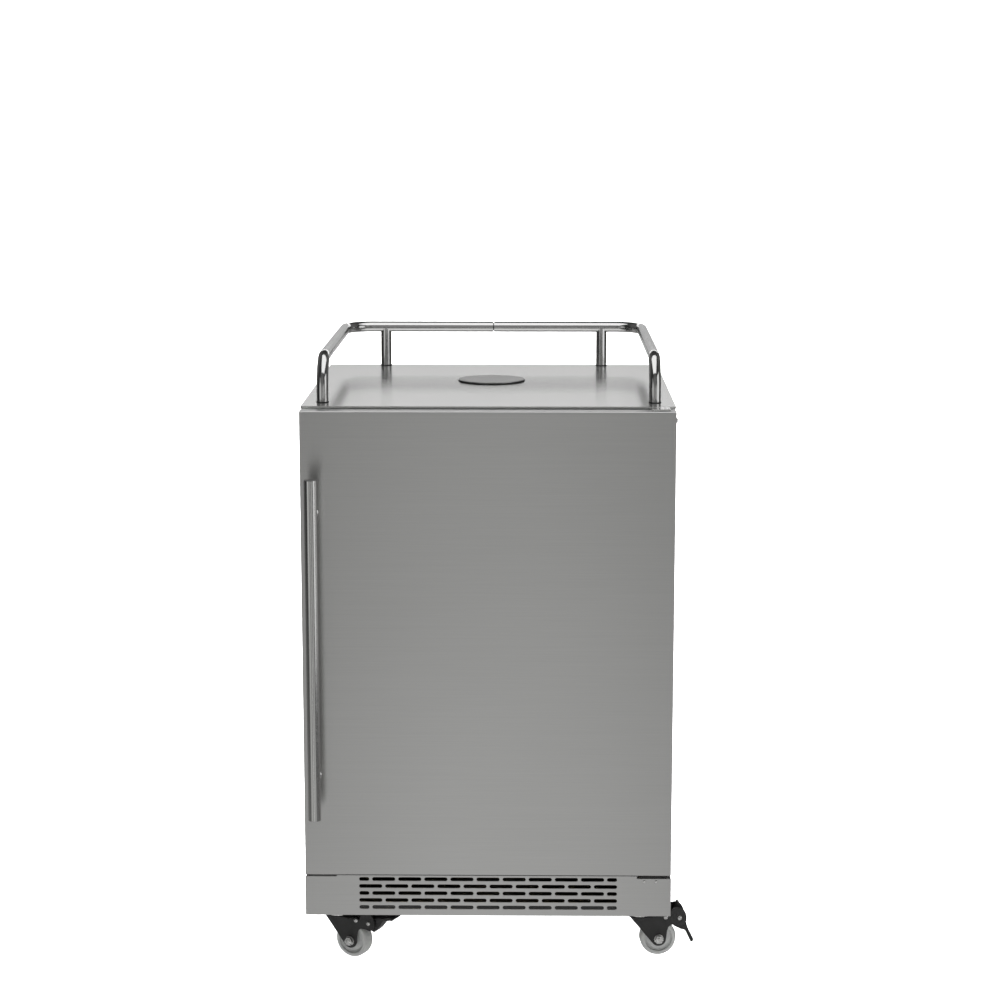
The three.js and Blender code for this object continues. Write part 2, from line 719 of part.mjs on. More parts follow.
function hingeBushes() {
  const ends = [
    ["lower", [DOOR_BOTTOM + 0.2, DOOR_BOTTOM + BUSH_LENGTH]],
    ["upper", [DOOR_TOP - BUSH_LENGTH, DOOR_TOP - 0.2]],
  ];
  for (const [name, z] of ends) {
    const bush = rod("z", BUSH_R, z, [HINGE_X, HINGE_Y], 20);
    const open = name === "lower" ? [z[0] - 1, z[1] - 2] : [z[0] + 2, z[1] + 1];
    const bore = rod("z", PIN_R + FIT, open, [HINGE_X, HINGE_Y], 20);
    piece("hinge_bush_" + name, cut(bush, bore), BLACK_PLASTIC, kegerator);
  }
}

function doorSidePlug() {
  const head = rod("x", PLUG_R, [HALF + FIT, HALF + 2.6], PLUG_YZ, 16);
  const shank = rod("x", PLUG_SHANK_R, [HALF - 8, HALF + 1], PLUG_YZ, 10);
  piece("door_side_plug", join(head, shank), ZINC, kegerator);
}

// ---------- Fans ----------

const FAN_BLADES = 5;
const FAN_PITCH = 0.7; // radians

// Square axial fan whose air runs along X or Y. centre is the middle of its frame.
function axialFan({ name, axis, size, depth, centre }) {
  const holder = new THREE.Group();
  holder.position.set(...centre);
  if (axis === "x") holder.rotation.z = -Math.PI / 2;
  kegerator.add(holder);
  const half = size / 2;
  const bore = half - 4;
  const y = [-depth / 2, depth / 2];
  const motorR = half * 0.3;
  const spoke = 4;
  let frame = cut(
    block([-half, half], y, [-half, half]),
    rod("y", bore, [y[0] - 1, y[1] + 1], [0, 0], 32),
  );
  const spokes = [
    block([-bore - 1, bore + 1], [y[1] - spoke, y[1]], [-spoke / 2, spoke / 2]),
    block([-spoke / 2, spoke / 2], [y[1] - spoke, y[1]], [-bore - 1, bore + 1]),
  ];
  const motorFront = y[1] - 1.5 * spoke;
  frame = join(frame, ...spokes, rod("y", motorR, [motorFront, y[1]], [0, 0], 16));
  piece(name + "_frame", frame, BLACK_PLASTIC, holder);
  let blades = rod("y", motorR, [y[0] + 4, motorFront - 2 * FIT], [0, 0], 16);
  const root = motorR * 0.8;
  const tip = bore - 4;
  for (let i = 0; i < FAN_BLADES; i += 1) {
    const blade = new THREE.BoxGeometry(tip - root, 2, half * 0.62);
    blade.rotateX(FAN_PITCH);
    blade.translate((tip + root) / 2, -3.5, 0);
    blade.rotateY((2 * Math.PI * i) / FAN_BLADES);
    blades = join(blades, solid(blade));
  }
  piece(name + "_blade", blades, BLACK_PLASTIC, holder);
}

// ---------- Cooling and controls in the keg compartment ----------

// Cold plate on four spacers, a little way off the back wall.
function evaporatorPlate() {
  const half = 200;
  const y = [KEG_BACK - 9, KEG_BACK - 7];
  const z = [430, 850];
  const inset = 20; // of the spacers from its edges
  let plate = block([-half, half], y, z);
  for (const x of [inset - half, half - inset]) {
    for (const height of [z[0] + inset, z[1] - inset]) {
      plate = join(plate, rod("y", 6, [y[0] + 1, KEG_BACK - FIT], [x, height], 12));
    }
  }
  piece("evaporator_plate", plate, ALUMINIUM, kegerator);
}

// Box under the ceiling with a dial on its spindle, and the lamp beside it.
function controls() {
  const front = 62;
  const dialXZ = [175, 862];
  const dialR = 16;
  const spindleR = 3;
  const box = block([120, 230], [front, front + 110], [842, KEG_CEILING - FIT]);
  const spindle = rod("y", spindleR, [front - 12, front + 1], dialXZ, 10);
  piece("control_box", join(box, spindle), BLACK_PLASTIC, kegerator);
  const grip = block(
    [dialXZ[0] - 1.5, dialXZ[0] + 1.5],
    [front - 17, front - 13],
    [dialXZ[1] - dialR + 2, dialXZ[1] + dialR - 1],
  );
  const dial = cut(
    join(rod("y", dialR, [front - 14, front - 2 * FIT], dialXZ, 24), grip),
    rod("y", spindleR + FIT, [front - 12.5, front + 1], dialXZ, 12),
  );
  piece("thermostat_dial", dial, LAMP_PLASTIC, kegerator);
  const lens = block([-60, 60], [70, 130], [KEG_CEILING - 12, KEG_CEILING - FIT]);
  piece("lamp_lens", lens, LAMP_PLASTIC, kegerator);
}

// ---------- Compressor compartment ----------

// Welded can on a foot plate with four rubber feet.
function compressor() {
  const [x, y] = [146, 556];
  const foot = [BASE_Z + BASE_THICKNESS + FIT, 113];
  const plateX = [x - 88, x + 88];
  const plateY = [y - 48, y + 48];
  const footInset = 13;
  const points = [
    [0, 118],
    [60, 118],
    [78, 135],
    [82, 170],
    [82, 200],
    [76, 235],
    [52, 262],
    [0, 270],
  ].map(([r, z]) => new THREE.Vector2(r, z));
  const can = new THREE.LatheGeometry(points, 28).rotateX(Math.PI / 2);
  can.scale(1, 0.62, 1).translate(x, y, 0);
  let body = join(solid(can), block(plateX, plateY, [foot[1] - 1, foot[1] + 6]));
  for (const footX of [plateX[0] + footInset, plateX[1] - footInset]) {
    for (const footY of [plateY[0] + footInset, plateY[1] - footInset]) {
      body = join(body, rod("z", 8, foot, [footX, footY], 12));
    }
  }
  piece("compressor", body, COMPRESSOR_BLACK, kegerator);
}

// Finned block that gives off the heat.
function condenser() {
  const x = [-234, -106];
  const y = [506, 600];
  const z = [BASE_Z + BASE_THICKNESS + FIT, 240];
  const finPitch = 12;
  const finWidth = 3;
  let core = join(block(x, y, [112, 124]), block(x, y, [z[1] - 8, z[1]]));
  for (let left = x[0] + 2.5; left < x[1]; left += finPitch) {
    core = join(core, block([left, left + finWidth], y, [z[0], z[1] - 4]));
  }
  piece("condenser", core, BLACK_STEEL, kegerator);
}

// Bush that the mains cable leaves through.
function cordGland() {
  const place = [CORD_X, CORD_Z];
  const neck = rod("y", GLAND_NECK_R, [BACK - 8, BACK + 1], place, 16);
  const flange = rod("y", 11, [BACK + 0.1, BACK + 2.6], place, 16);
  const hole = rod("y", 4, [BACK - 9, BACK + 4], place, 12);
  piece("cord_gland", cut(join(neck, flange), hole), BLACK_PLASTIC, kegerator);
}

// ---------- Casters ----------

// In a caster's own frame the swivel axis is the Z axis and the wheel trails along +X.

// Threaded stem, hexagon, ball-race cover and the king pin that the fork turns on.
function casterStem(name, holder) {
  const turnedPart = turned(
    [
      [0, 61],
      [8, 61],
      [8, 65],
      [AXLE_R, 66],
      [AXLE_R, CROWN_Z[1] + 0.5],
      [20.5, CROWN_Z[1] + 0.5],
      [20.5, 73],
      [15, 78],
      [STEM_R, 78],
      [STEM_R, BOSS_TOP - 3],
      [0, BOSS_TOP - 3],
    ],
    [0, 0],
    14,
  );
  const hexagon = rod("z", 9.8, [77, BASE_Z - FIT], [0, 0], 6);
  piece("caster_stem_" + name, join(turnedPart, hexagon), ZINC, holder);
}

// Side view of one fork leg. A braked fork reaches back past the wheel to hold the lever.
function forkLeg(braked) {
  const top = CROWN_Z[1];
  const leg = new THREE.Shape();
  leg.moveTo(-16, top);
  leg.lineTo(19, 24);
  leg.absarc(TRAIL, WHEEL_R, 12.5, 1.17 * Math.PI, 1.95 * Math.PI);
  if (braked) {
    leg.lineTo(45.5, 50);
    leg.lineTo(50, 54);
    leg.lineTo(68, 52);
    leg.lineTo(76.5, 60);
    leg.lineTo(75, 74);
    leg.lineTo(66, 83.5);
    leg.lineTo(54, 83);
    leg.lineTo(48, top);
  } else {
    leg.lineTo(38, top);
  }
  return leg;
}

function casterFork(name, holder, braked) {
  const crownBack = braked ? 30 : 37;
  let fork = join(
    block([-16, crownBack], [-FORK_OUTER, FORK_OUTER], CROWN_Z),
    rod("z", 20, CROWN_Z, [0, 0], 16),
  );
  for (const side of [-1, 1]) {
    const y = [side * FORK_INNER, side * FORK_OUTER].sort((a, b) => a - b);
    fork = join(fork, frontPlate(forkLeg(braked), y, 3));
    if (braked) {
      const head = [side * (FORK_OUTER - 0.5), side * (FORK_OUTER + 1.8)].sort((a, b) => a - b);
      fork = join(fork, ...RIVETS.map((place) => rod("y", RIVET_R, head, place, 8)));
    }
  }
  if (braked) {
    fork = join(fork, rod("y", 3, [-FORK_OUTER, FORK_OUTER], BRAKE_PIVOT, 12));
  }
  fork = cut(
    fork,
    rod("z", AXLE_R + 0.4, [CROWN_Z[0] - 1, CROWN_Z[1] + 1], [0, 0], 12),
    rod("y", AXLE_R + FIT, [-FORK_OUTER - 1, FORK_OUTER + 1], [TRAIL, WHEEL_R], 12),
  );
  piece("caster_fork_" + name, fork, BLACK_STEEL, holder);
}

// The wheel stands on one of its flats, so its corners lie a little outside the tread radius.
function casterWheel(name, holder) {
  const tread = WHEEL_R / Math.cos(Math.PI / WHEEL_SIDES);
  const bore = AXLE_R + FIT;
  const half = [
    [bore, WHEEL_HALF_WIDTH],
    [10, WHEEL_HALF_WIDTH],
    [11, 8.5],
    [21, 8.5],
    [23, 11.6],
    [tread, 7.3],
  ];
  const mirrored = half.map(([r, y]) => [r, -y]).reverse();
  const profile = [...half, ...mirrored, half[0]].map(([r, y]) => new THREE.Vector2(r, y));
  const wheel = new THREE.LatheGeometry(profile, WHEEL_SIDES, Math.PI / WHEEL_SIDES);
  piece("caster_wheel_" + name, solid(wheel.translate(TRAIL, 0, WHEEL_R)), GREY_RUBBER, holder);
}

// Bolt with its head, washer and nut.
function casterAxle(name, holder) {
  const centre = [TRAIL, WHEEL_R];
  const outer = FORK_OUTER + FIT;
  const bolt = join(
    rod("y", AXLE_R, [-outer - 8, outer + 1], centre, 12),
    rod("y", 7.5, [-outer - 6.5, -outer - 1], centre, 6),
    rod("y", 8, [-outer - 1.2, -outer], centre, 12),
    rod("y", 7.5, [outer, outer + 5], centre, 6),
  );
  piece("caster_axle_" + name, bolt, ZINC, holder);
}

// Pedal below, release tab above, drawn as they stand when the brake is locked. swing turns
// the lever back to where it rests, in degrees.
function brakeLever(name, holder, swing) {
  const pivot = new THREE.Group();
  pivot.position.set(BRAKE_PIVOT[0], 0, BRAKE_PIVOT[1]);
  pivot.rotation.y = -THREE.MathUtils.degToRad(swing);
  holder.add(pivot);
  const side = shapeOf([
    [-2.5, 24],
    [0.5, 24],
    [6, 12],
    [10, -4],
    [15, -20],
    [23.5, -37],
    [22.5, -41.5],
    [18.5, -42],
    [9.5, -23],
    [3, -21],
    [-9, -14.5],
    [-13.5, -11],
    [-9, 4],
    [-5, 14],
  ]);
  const pedal = shapeOf([
    [13.5, -22],
    [15.5, -21],
    [23.5, -37],
    [22.5, -41.5],
    [18.5, -42],
    [17, -39],
    [17.5, -35],
  ]);
  const lever = cut(
    join(frontPlate(side, [-11.2, 11.2]), frontPlate(pedal, [-15, 15])),
    rod("y", 3 + FIT, [-20, 20], [0, 0], 14),
  );
  piece("brake_lever_" + name, lever, BLACK_PLASTIC, pivot);
}

function caster({ name, x, y, yaw, brake }) {
  const holder = new THREE.Group();
  holder.position.set(x, y, 0);
  holder.rotation.z = THREE.MathUtils.degToRad(yaw);
  kegerator.add(holder);
  const braked = brake !== undefined;
  casterStem(name, holder);
  casterFork(name, holder, braked);
  casterWheel(name, holder);
  casterAxle(name, holder);
  if (braked) brakeLever(name, holder, brake);
}

// ---------- Assembly ----------

cabinetShell();
backPanel();
basePan();
cabinetFoam();
innerLiner();
kegFloorPlate();
worktop();
towerHoleCover();
guardRail();
kickGrille();
upperHinge();
lowerHinge();
doorSkin();
doorFoam();
doorLiner();
doorGasket();
doorHandle();
hingeBushes();
doorSidePlug();
evaporatorPlate();
axialFan({ name: "evaporator_fan", axis: "y", size: 120, depth: 32, centre: [0, 546, 740] });
controls();
compressor();
condenser();
axialFan({ name: "condenser_fan", axis: "x", size: 110, depth: 32, centre: [-84, 556, 160] });
cordGland();
CASTERS.forEach(caster);

kegerator.updateMatrixWorld(true);
const middle = new THREE.Box3().setFromObject(kegerator).getCenter(new THREE.Vector3());
kegerator.position.set(-middle.x, -middle.y, 0);

export default kegerator;
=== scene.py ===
"""Looks of the kegerator: camera, lights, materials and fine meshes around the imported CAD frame."""

import json
from math import acos, atan2, cos, pi, radians, sin, tan

import bmesh
import bpy
from mathutils import Matrix, Vector


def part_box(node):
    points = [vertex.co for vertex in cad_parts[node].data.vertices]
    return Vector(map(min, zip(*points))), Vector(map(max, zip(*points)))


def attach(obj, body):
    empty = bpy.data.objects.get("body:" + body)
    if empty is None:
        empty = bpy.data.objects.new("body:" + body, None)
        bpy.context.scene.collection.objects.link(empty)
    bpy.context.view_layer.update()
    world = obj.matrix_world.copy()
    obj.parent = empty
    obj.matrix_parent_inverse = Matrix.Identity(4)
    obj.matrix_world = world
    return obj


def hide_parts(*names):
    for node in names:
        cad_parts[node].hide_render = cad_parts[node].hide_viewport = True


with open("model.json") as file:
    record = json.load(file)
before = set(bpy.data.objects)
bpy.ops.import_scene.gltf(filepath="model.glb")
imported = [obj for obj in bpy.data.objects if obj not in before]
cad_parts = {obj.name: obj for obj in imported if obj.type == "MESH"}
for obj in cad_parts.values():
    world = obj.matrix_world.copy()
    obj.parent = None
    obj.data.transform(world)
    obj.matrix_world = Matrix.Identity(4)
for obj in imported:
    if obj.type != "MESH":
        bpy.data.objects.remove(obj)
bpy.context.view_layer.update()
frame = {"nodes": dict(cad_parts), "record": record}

MM = 0.001
JOINTS = {joint["name"]: joint for joint in frame["record"]["behaviour"]["joints"]}


# ---------- Places read from the frame ----------


def span(node):
    lowest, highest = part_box(node)
    return Vector(lowest), Vector(highest)


def centre(node):
    lowest, highest = span(node)
    return (lowest + highest) / 2


TOP_LOW, TOP_HIGH = span("worktop")
DOOR_LOW, DOOR_HIGH = span("door_skin")
SHELL_FRONT = span("cabinet_shell")[0].y
MIDDLE_X = (TOP_LOW.x + TOP_HIGH.x) / 2
DOOR_FACE = DOOR_LOW.y
WORKTOP_Z = TOP_HIGH.z


def at(x, y, z):
    """A point given in mm from the cabinet's middle, the door's face and the floor."""
    return Vector((MIDDLE_X + x * MM, DOOR_FACE + y * MM, z * MM))


# ---------- Camera and light ----------

CAMERA_PLACE = at(68.1, -3685.7, 0) + Vector((0, 0, WORKTOP_Z + 494.1 * MM))
CAMERA_PITCH = radians(9.81)
CAMERA_YAW = radians(0.757)
LENS = 85.5


def new_object(name, data):
    """An object that holds data, linked into the scene."""
    made = bpy.data.objects.new(name, data)
    bpy.context.collection.objects.link(made)
    return made


def add_camera():
    data = bpy.data.cameras.new("camera")
    data.lens = LENS
    data.sensor_width = 36
    data.clip_end = 60
    camera = new_object("camera", data)
    camera.location = CAMERA_PLACE
    camera.rotation_euler = (pi / 2 - CAMERA_PITCH, 0, CAMERA_YAW)
    bpy.context.scene.camera = camera


def add_softbox(name, place, target, size, radiance):
    """A rectangular light that reflections can see; radiance is its brightness."""
    data = bpy.data.lights.new(name, "AREA")
    data.shape = "RECTANGLE"
    data.size, data.size_y = size
    data.energy = radiance * pi * size[0] * size[1]
    light = new_object(name, data)
    light.location = place
    light.rotation_euler = (Vector(target) - Vector(place)).to_track_quat("-Z", "Y").to_euler()
    light.visible_camera = False
    return light


def map_range(tree, value, start, end, low, high):
    """A node that spreads value, which runs from start to end, over low to high."""
    ramp = tree.nodes.new("ShaderNodeMapRange")
    settings = {"From Min": start, "From Max": end, "To Min": low, "To Max": high}
    for name, number in settings.items():
        ramp.inputs[name].default_value = number
    tree.links.new(value, ramp.inputs["Value"])
    return ramp


def vector_step(tree, operation, source, constant=None):
    """A vector operation on source and, where it needs one, a constant."""
    step = tree.nodes.new("ShaderNodeVectorMath")
    step.operation = operation
    tree.links.new(source, step.inputs[0])
    if constant is not None:
        step.inputs[1].default_value = constant
    return step


def add_world():
    """A dim room with soft pale patches: direction, squash, two half-angles and brightness.

    A squash above 1 makes a patch narrow from side to side, and one below 1 makes it wide.
    """
    patches = [
        ((0, 0, -1), 1, (62, 83), 0.28),
        ((-0.06, -0.93, -0.37), 5, (0, 35), 0.48),
        ((-0.05, -1, 0), 1, (5, 55), 0.14),
        ((-0.62, -0.79, -0.12), 1, (0, 26), 0.36),
        ((0.5, -0.87, -0.12), 1, (0, 19), 0.34),
        ((0.8, 0.6, 0.15), 1, (0, 48), 0.09),
        ((-0.8, 0.6, 0.15), 1, (0, 48), 0.09),
        ((0, 0, 1), 1, (0, 120), 0.05),
    ]
    world = bpy.data.worlds.new("studio")
    bpy.context.scene.world = world
    world.use_nodes = True
    nodes, links = world.node_tree.nodes, world.node_tree.links
    direction = nodes.new("ShaderNodeTexCoord").outputs["Generated"]
    total = None
    for towards, squash, (inner, outer), radiance in patches:
        squashed = vector_step(world.node_tree, "MULTIPLY", direction, (squash, 1, 1))
        unit = vector_step(world.node_tree, "NORMALIZE", squashed.outputs["Vector"])
        middle = Vector(towards).normalized()
        closeness = vector_step(world.node_tree, "DOT_PRODUCT", unit.outputs["Vector"], middle)
        rim, core = cos(radians(outer)), cos(radians(inner))
        patch = map_range(world.node_tree, closeness.outputs["Value"], rim, core, 0, radiance)
        patch.interpolation_type = "SMOOTHSTEP"
        if total:
            both = nodes.new("ShaderNodeMath")
            links.new(total, both.inputs[0])
            links.new(patch.outputs["Result"], both.inputs[1])
            total = both.outputs["Value"]
        else:
            total = patch.outputs["Result"]
    links.new(total, nodes["Background"].inputs["Strength"])
    nodes["Background"].inputs["Color"].default_value = (1, 1, 0.985, 1)


def add_cyclorama():
    """A pale floor that curves up into a low back wall."""
    half, front, back, bend, top = 9.0, -9.0, 4.6, 1.2, 2.1
    steps = 16
    profile = [(front, 0.0), (back - bend, 0.0)]
    for i in range(1, steps + 1):
        turn = pi / 2 * i / steps
        profile.append((back - bend + bend * sin(turn), bend - bend * cos(turn)))
    profile.append((back, top))
    bm = bmesh.new()
    rows = [[bm.verts.new((x, y, z)) for y, z in profile] for x in (-half, half)]
    for i in range(len(profile) - 1):
        bm.faces.new((rows[0][i], rows[1][i], rows[1][i + 1], rows[0][i + 1]))
    floor = as_object("studio_floor", bm, "paper", sharp=60)
    floor.visible_glossy = False
    far_wall()
    return floor


def far_wall():
    """A pale wall all round, which only the camera sees, behind every view of the object."""
    radius, low, high = 8.9, -0.5, 9.0
    bm = bmesh.new()
    ends = [[bm.verts.new((x, y, z)) for x, y in circle(radius, 96)] for z in (low, high)]
    for i in range(len(ends[0])):
        bm.faces.new((ends[0][i - 1], ends[0][i], ends[1][i], ends[1][i - 1]))
    wall = as_object("studio_wall", bm, "glowing_paper", sharp=60)
    wall.visible_glossy = False
    wall.visible_diffuse = False
    wall.visible_shadow = False


def add_lights(floor):
    """Washes that light only the floor and wall, and softboxes round the object."""
    studio = bpy.data.collections.new("studio")
    studio.objects.link(floor)
    floor_wash = add_softbox("floor_wash", (0, 1.6, 2.8), (0, 1.6, 0), (6, 4), 4.2)
    near_wash = add_softbox("near_wash", (0, 0.1, 1.2), (0, 0.1, 0), (2.4, 0.9), 6)
    wall_wash = add_softbox("wall_wash", (0, 2.6, 3.4), (0, 4.6, 0.9), (7, 0.8), 4.5)
    for wash in (floor_wash, near_wash, wall_wash):
        wash.light_linking.receiver_collection = studio
        wash.light_linking.blocker_collection = studio
        wash.visible_glossy = False
    add_softbox("key", (0.05, -0.37, 2.0), (0.05, -0.36, 0), (1.3, 1.6), 1.2)
    add_softbox("bounce", (0, -1.05, 0.02), (0, -1.05, 1), (0.9, 1.9), 0.06)
    add_softbox("right", (2.0, -1.1, 1.0), (0, 0, 0.8), (1.5, 2.2), 0.9)
    add_softbox("left", (-2.2, -2.2, 1.1), (0, 0, 0.8), (1.2, 2.2), 0.2)
    add_softbox("backdrop_low", (0, 4.2, 1.05), (0, 0, 1.05), (3.6, 1.4), 0.45)
    add_softbox("backdrop_high", (0.2, 4.2, 2.2), (0.2, 0, 2.2), (3.2, 0.9), 1.4)


# ---------- Material tools ----------

MATERIALS = {}


class Shader:
    """A principled material under construction, with short ways to add nodes."""

    def __init__(self, name, colour, metallic, roughness):
        self.material = bpy.data.materials.new(name)
        self.material.use_nodes = True
        self.tree = self.material.node_tree
        self.surface = self.tree.nodes["Principled BSDF"]
        self.surface.inputs["Base Color"].default_value = (*colour, 1)
        self.surface.inputs["Metallic"].default_value = metallic
        self.surface.inputs["Roughness"].default_value = roughness
        self.colour = colour
        self.roughness = roughness
        MATERIALS[name] = self.material

    def node(self, kind, **settings):
        made = self.tree.nodes.new(kind)
        for key, value in settings.items():
            setattr(made, key, value)
        return made

    def link(self, source, target):
        self.tree.links.new(source, target)

    def coordinates(self, scale):
        """Object coordinates in metres, multiplied by one scale or by one for each axis."""
        place = self.node("ShaderNodeTexCoord")
        mapping = self.node("ShaderNodeMapping")
        scales = scale if isinstance(scale, tuple) else (scale, scale, scale)
        mapping.inputs["Scale"].default_value = scales
        self.link(place.outputs["Object"], mapping.inputs["Vector"])
        return mapping.outputs["Vector"]

    def noise(self, scale, detail=3.0, roughness=0.5):
        texture = self.node("ShaderNodeTexNoise")
        texture.inputs["Scale"].default_value = 1
        texture.inputs["Detail"].default_value = detail
        texture.inputs["Roughness"].default_value = roughness
        self.link(self.coordinates(scale), texture.inputs["Vector"])
        return texture.outputs["Fac"]

    def spread(self, value, low, high, start=0.3, end=0.7):
        """value, mostly between start and end, spread over low to high."""
        return map_range(self.tree, value, start, end, low, high).outputs["Result"]

    def vary_colour(self, value, low, high):
        """Base colour times a factor that runs from low to high with value."""
        mix = self.node("ShaderNodeMix", data_type="RGBA", blend_type="MULTIPLY")
        mix.inputs["Factor"].default_value = 1
        base = self.surface.inputs["Base Color"]
        if base.is_linked:
            self.link(base.links[0].from_socket, mix.inputs["A"])
        else:
            mix.inputs["A"].default_value = (*self.colour, 1)
        self.link(self.spread(value, low, high), mix.inputs["B"])
        self.link(mix.outputs["Result"], base)

    def vary_roughness(self, value, amount):
        low, high = self.roughness - amount, self.roughness + amount
        self.link(self.spread(value, low, high), self.surface.inputs["Roughness"])

    def bump(self, height, distance, strength=1.0):
        bump = self.node("ShaderNodeBump")
        bump.inputs["Strength"].default_value = strength
        bump.inputs["Distance"].default_value = distance
        normal = self.surface.inputs["Normal"]
        if normal.is_linked:
            self.link(normal.links[0].from_socket, bump.inputs["Normal"])
        self.link(height, bump.inputs["Height"])
        self.link(bump.outputs["Normal"], normal)

    def grain(self, axis, anisotropy):
        """Stretches reflections across a brushing that runs along one of the object's axes."""
        direction = self.node("ShaderNodeCombineXYZ")
        direction.inputs["XYZ".index(axis)].default_value = 1
        turn = self.node(
            "ShaderNodeVectorTransform",
            vector_type="VECTOR",
            convert_from="OBJECT",
            convert_to="WORLD",
        )
        across = self.node("ShaderNodeVectorMath", operation="CROSS_PRODUCT")
        self.link(direction.outputs["Vector"], turn.inputs["Vector"])
        self.link(turn.outputs["Vector"], across.inputs[0])
        self.link(self.node("ShaderNodeNewGeometry").outputs["Normal"], across.inputs[1])
        self.link(across.outputs["Vector"], self.surface.inputs["Tangent"])
        self.surface.inputs["Anisotropic"].default_value = anisotropy


def along(axis, lengthwise, across):
    """Texture scales for a grain along one axis: coarse along it, fine across it."""
    return tuple(lengthwise if name == axis else across for name in "XYZ")


def brushed_steel(name, colour, axis, roughness=0.31, anisotropy=0.75, contrast=0.025):
    shader = Shader(name, colour, 1, roughness)
    fine = shader.noise(along(axis, 9, 1100), detail=4, roughness=0.65)
    streaks = shader.noise(along(axis, 2.5, 260), detail=4)
    clouds = shader.noise(3.1, detail=2)
    shader.vary_colour(fine, 1 - contrast, 1 + contrast)
    shader.vary_colour(streaks, 1 - contrast * 0.3, 1 + contrast * 0.3)
    shader.vary_colour(clouds, 0.99, 1.01)
    shader.vary_roughness(clouds, 0.01)
    shader.grain(axis, anisotropy)
    return shader


def wavy(shader, scale, height):
    """Slow waves of a thin sheet, which bend its reflections."""
    shader.bump(shader.noise(scale, detail=1, roughness=0.4), height)


def polished_steel(name, colour, roughness=0.12):
    shader = Shader(name, colour, 1, roughness)
    scuffs = shader.noise(90, detail=5, roughness=0.7)
    shader.vary_roughness(scuffs, 0.035)
    shader.vary_colour(shader.noise(14), 0.97, 1.02)
    shader.bump(shader.noise(700, detail=2), 0.006 * MM, 0.5)


def zinc_plate(name, colour, roughness=0.28):
    shader = Shader(name, colour, 1, roughness)
    mottle = shader.noise(260, detail=4, roughness=0.6)
    shader.vary_colour(mottle, 0.86, 1.06)
    shader.vary_roughness(mottle, 0.08)
    shader.bump(mottle, 0.03 * MM, 0.5)


def galvanised(name, colour):
    shader = Shader(name, colour, 1, 0.42)
    spangle = shader.node("ShaderNodeTexVoronoi")
    spangle.inputs["Scale"].default_value = 1
    shader.link(shader.coordinates(85), spangle.inputs["Vector"])
    value = shader.node("ShaderNodeSeparateColor")
    shader.link(spangle.outputs["Color"], value.inputs["Color"])
    shader.vary_colour(value.outputs["Red"], 0.9, 1.05)
    shader.vary_roughness(value.outputs["Green"], 0.07)


def coated(name, colour, roughness, orange_peel=0.05):
    """Paint or e-coat: an even film with a faint orange peel and worn-looking gloss."""
    shader = Shader(name, colour, 0, roughness)
    peel = shader.noise(420, detail=2)
    shader.bump(peel, orange_peel * MM, 0.6)
    dust = shader.noise(35, detail=5, roughness=0.7)
    shader.vary_colour(dust, 0.85, 1.3)
    shader.vary_roughness(dust, 0.06)


def plastic(name, colour, roughness, pore=0.03, scale=900):
    """Moulded plastic with a fine spark-eroded texture."""
    shader = Shader(name, colour, 0, roughness)
    texture = shader.noise(scale, detail=2)
    shader.bump(texture, pore * MM, 0.7)
    shader.vary_colour(shader.noise(20, detail=4), 0.96, 1.04)
    shader.vary_roughness(texture, 0.04)


def rubber(name, colour, roughness=0.75, contrast=0.08):
    shader = Shader(name, colour, 0, roughness)
    bloom = shader.noise(60, detail=6, roughness=0.7)
    shader.vary_colour(bloom, 1 - contrast, 1 + contrast)
    shader.bump(shader.noise(1500, detail=2), 0.03 * MM, 0.5)
    shader.vary_roughness(bloom, 0.05)


def foam(name, colour):
    shader = Shader(name, colour, 0, 0.9)
    cells = shader.node("ShaderNodeTexVoronoi")
    cells.inputs["Scale"].default_value = 1
    shader.link(shader.coordinates(700), cells.inputs["Vector"])
    shader.bump(cells.outputs["Distance"], 0.3 * MM, 0.8)
    shader.vary_colour(shader.noise(12, detail=4), 0.88, 1.08)


def paper(name, glow):
    shader = Shader(name, (0.86, 0.86, 0.86), 0, 0.95)
    shader.surface.inputs["Emission Color"].default_value = (1, 1, 1, 1)
    shader.surface.inputs["Emission Strength"].default_value = glow
    shader.vary_colour(shader.noise(0.7, detail=2), 0.99, 1.01)


def copper(name):
    shader = Shader(name, (0.72, 0.36, 0.2), 1, 0.28)
    tarnish = shader.noise(70, detail=4)
    shader.vary_colour(tarnish, 0.75, 1.05)
    shader.vary_roughness(tarnish, 0.08)


def add_materials():
    paper("paper", 0.85)
    paper("glowing_paper", 1)
    brushed_steel("brushed_stainless", (0.6, 0.6, 0.595), "X")
    brushed_steel("brushed_side", (0.6, 0.6, 0.595), "Y")
    worktop = brushed_steel("brushed_worktop", (0.7, 0.7, 0.692), "X", roughness=0.23, anisotropy=0.6)
    wavy(worktop, (5, 9, 5), 0.25 * MM)
    polished_steel("brushed_bar", (0.64, 0.64, 0.63), roughness=0.17)
    polished_steel("polished_tube", (0.68, 0.68, 0.675))
    zinc_plate("zinc_plated", (0.88, 0.88, 0.87), roughness=0.24)
    galvanised("galvanised_sheet", (0.5, 0.51, 0.515))
    zinc_plate("aluminium_plate", (0.72, 0.73, 0.74), roughness=0.36)
    coated("black_steel", (0.012, 0.012, 0.012), 0.46)
    coated("compressor_black", (0.014, 0.014, 0.014), 0.26, orange_peel=0.1)
    plastic("black_plastic", (0.013, 0.013, 0.0135), 0.46)
    plastic("liner_plastic", (0.78, 0.79, 0.78), 0.38, pore=0.05, scale=300)
    plastic("lamp_plastic", (0.85, 0.85, 0.82), 0.22, pore=0.01)
    rubber("black_rubber", (0.016, 0.016, 0.016))
    rubber("grey_rubber", (0.27, 0.274, 0.266), roughness=0.5, contrast=0.05)
    plastic("wheel_core", (0.3, 0.305, 0.3), 0.4)
    foam("foam", (0.74, 0.62, 0.36))
    copper("copper_pipe")


# ---------- Mesh tools ----------

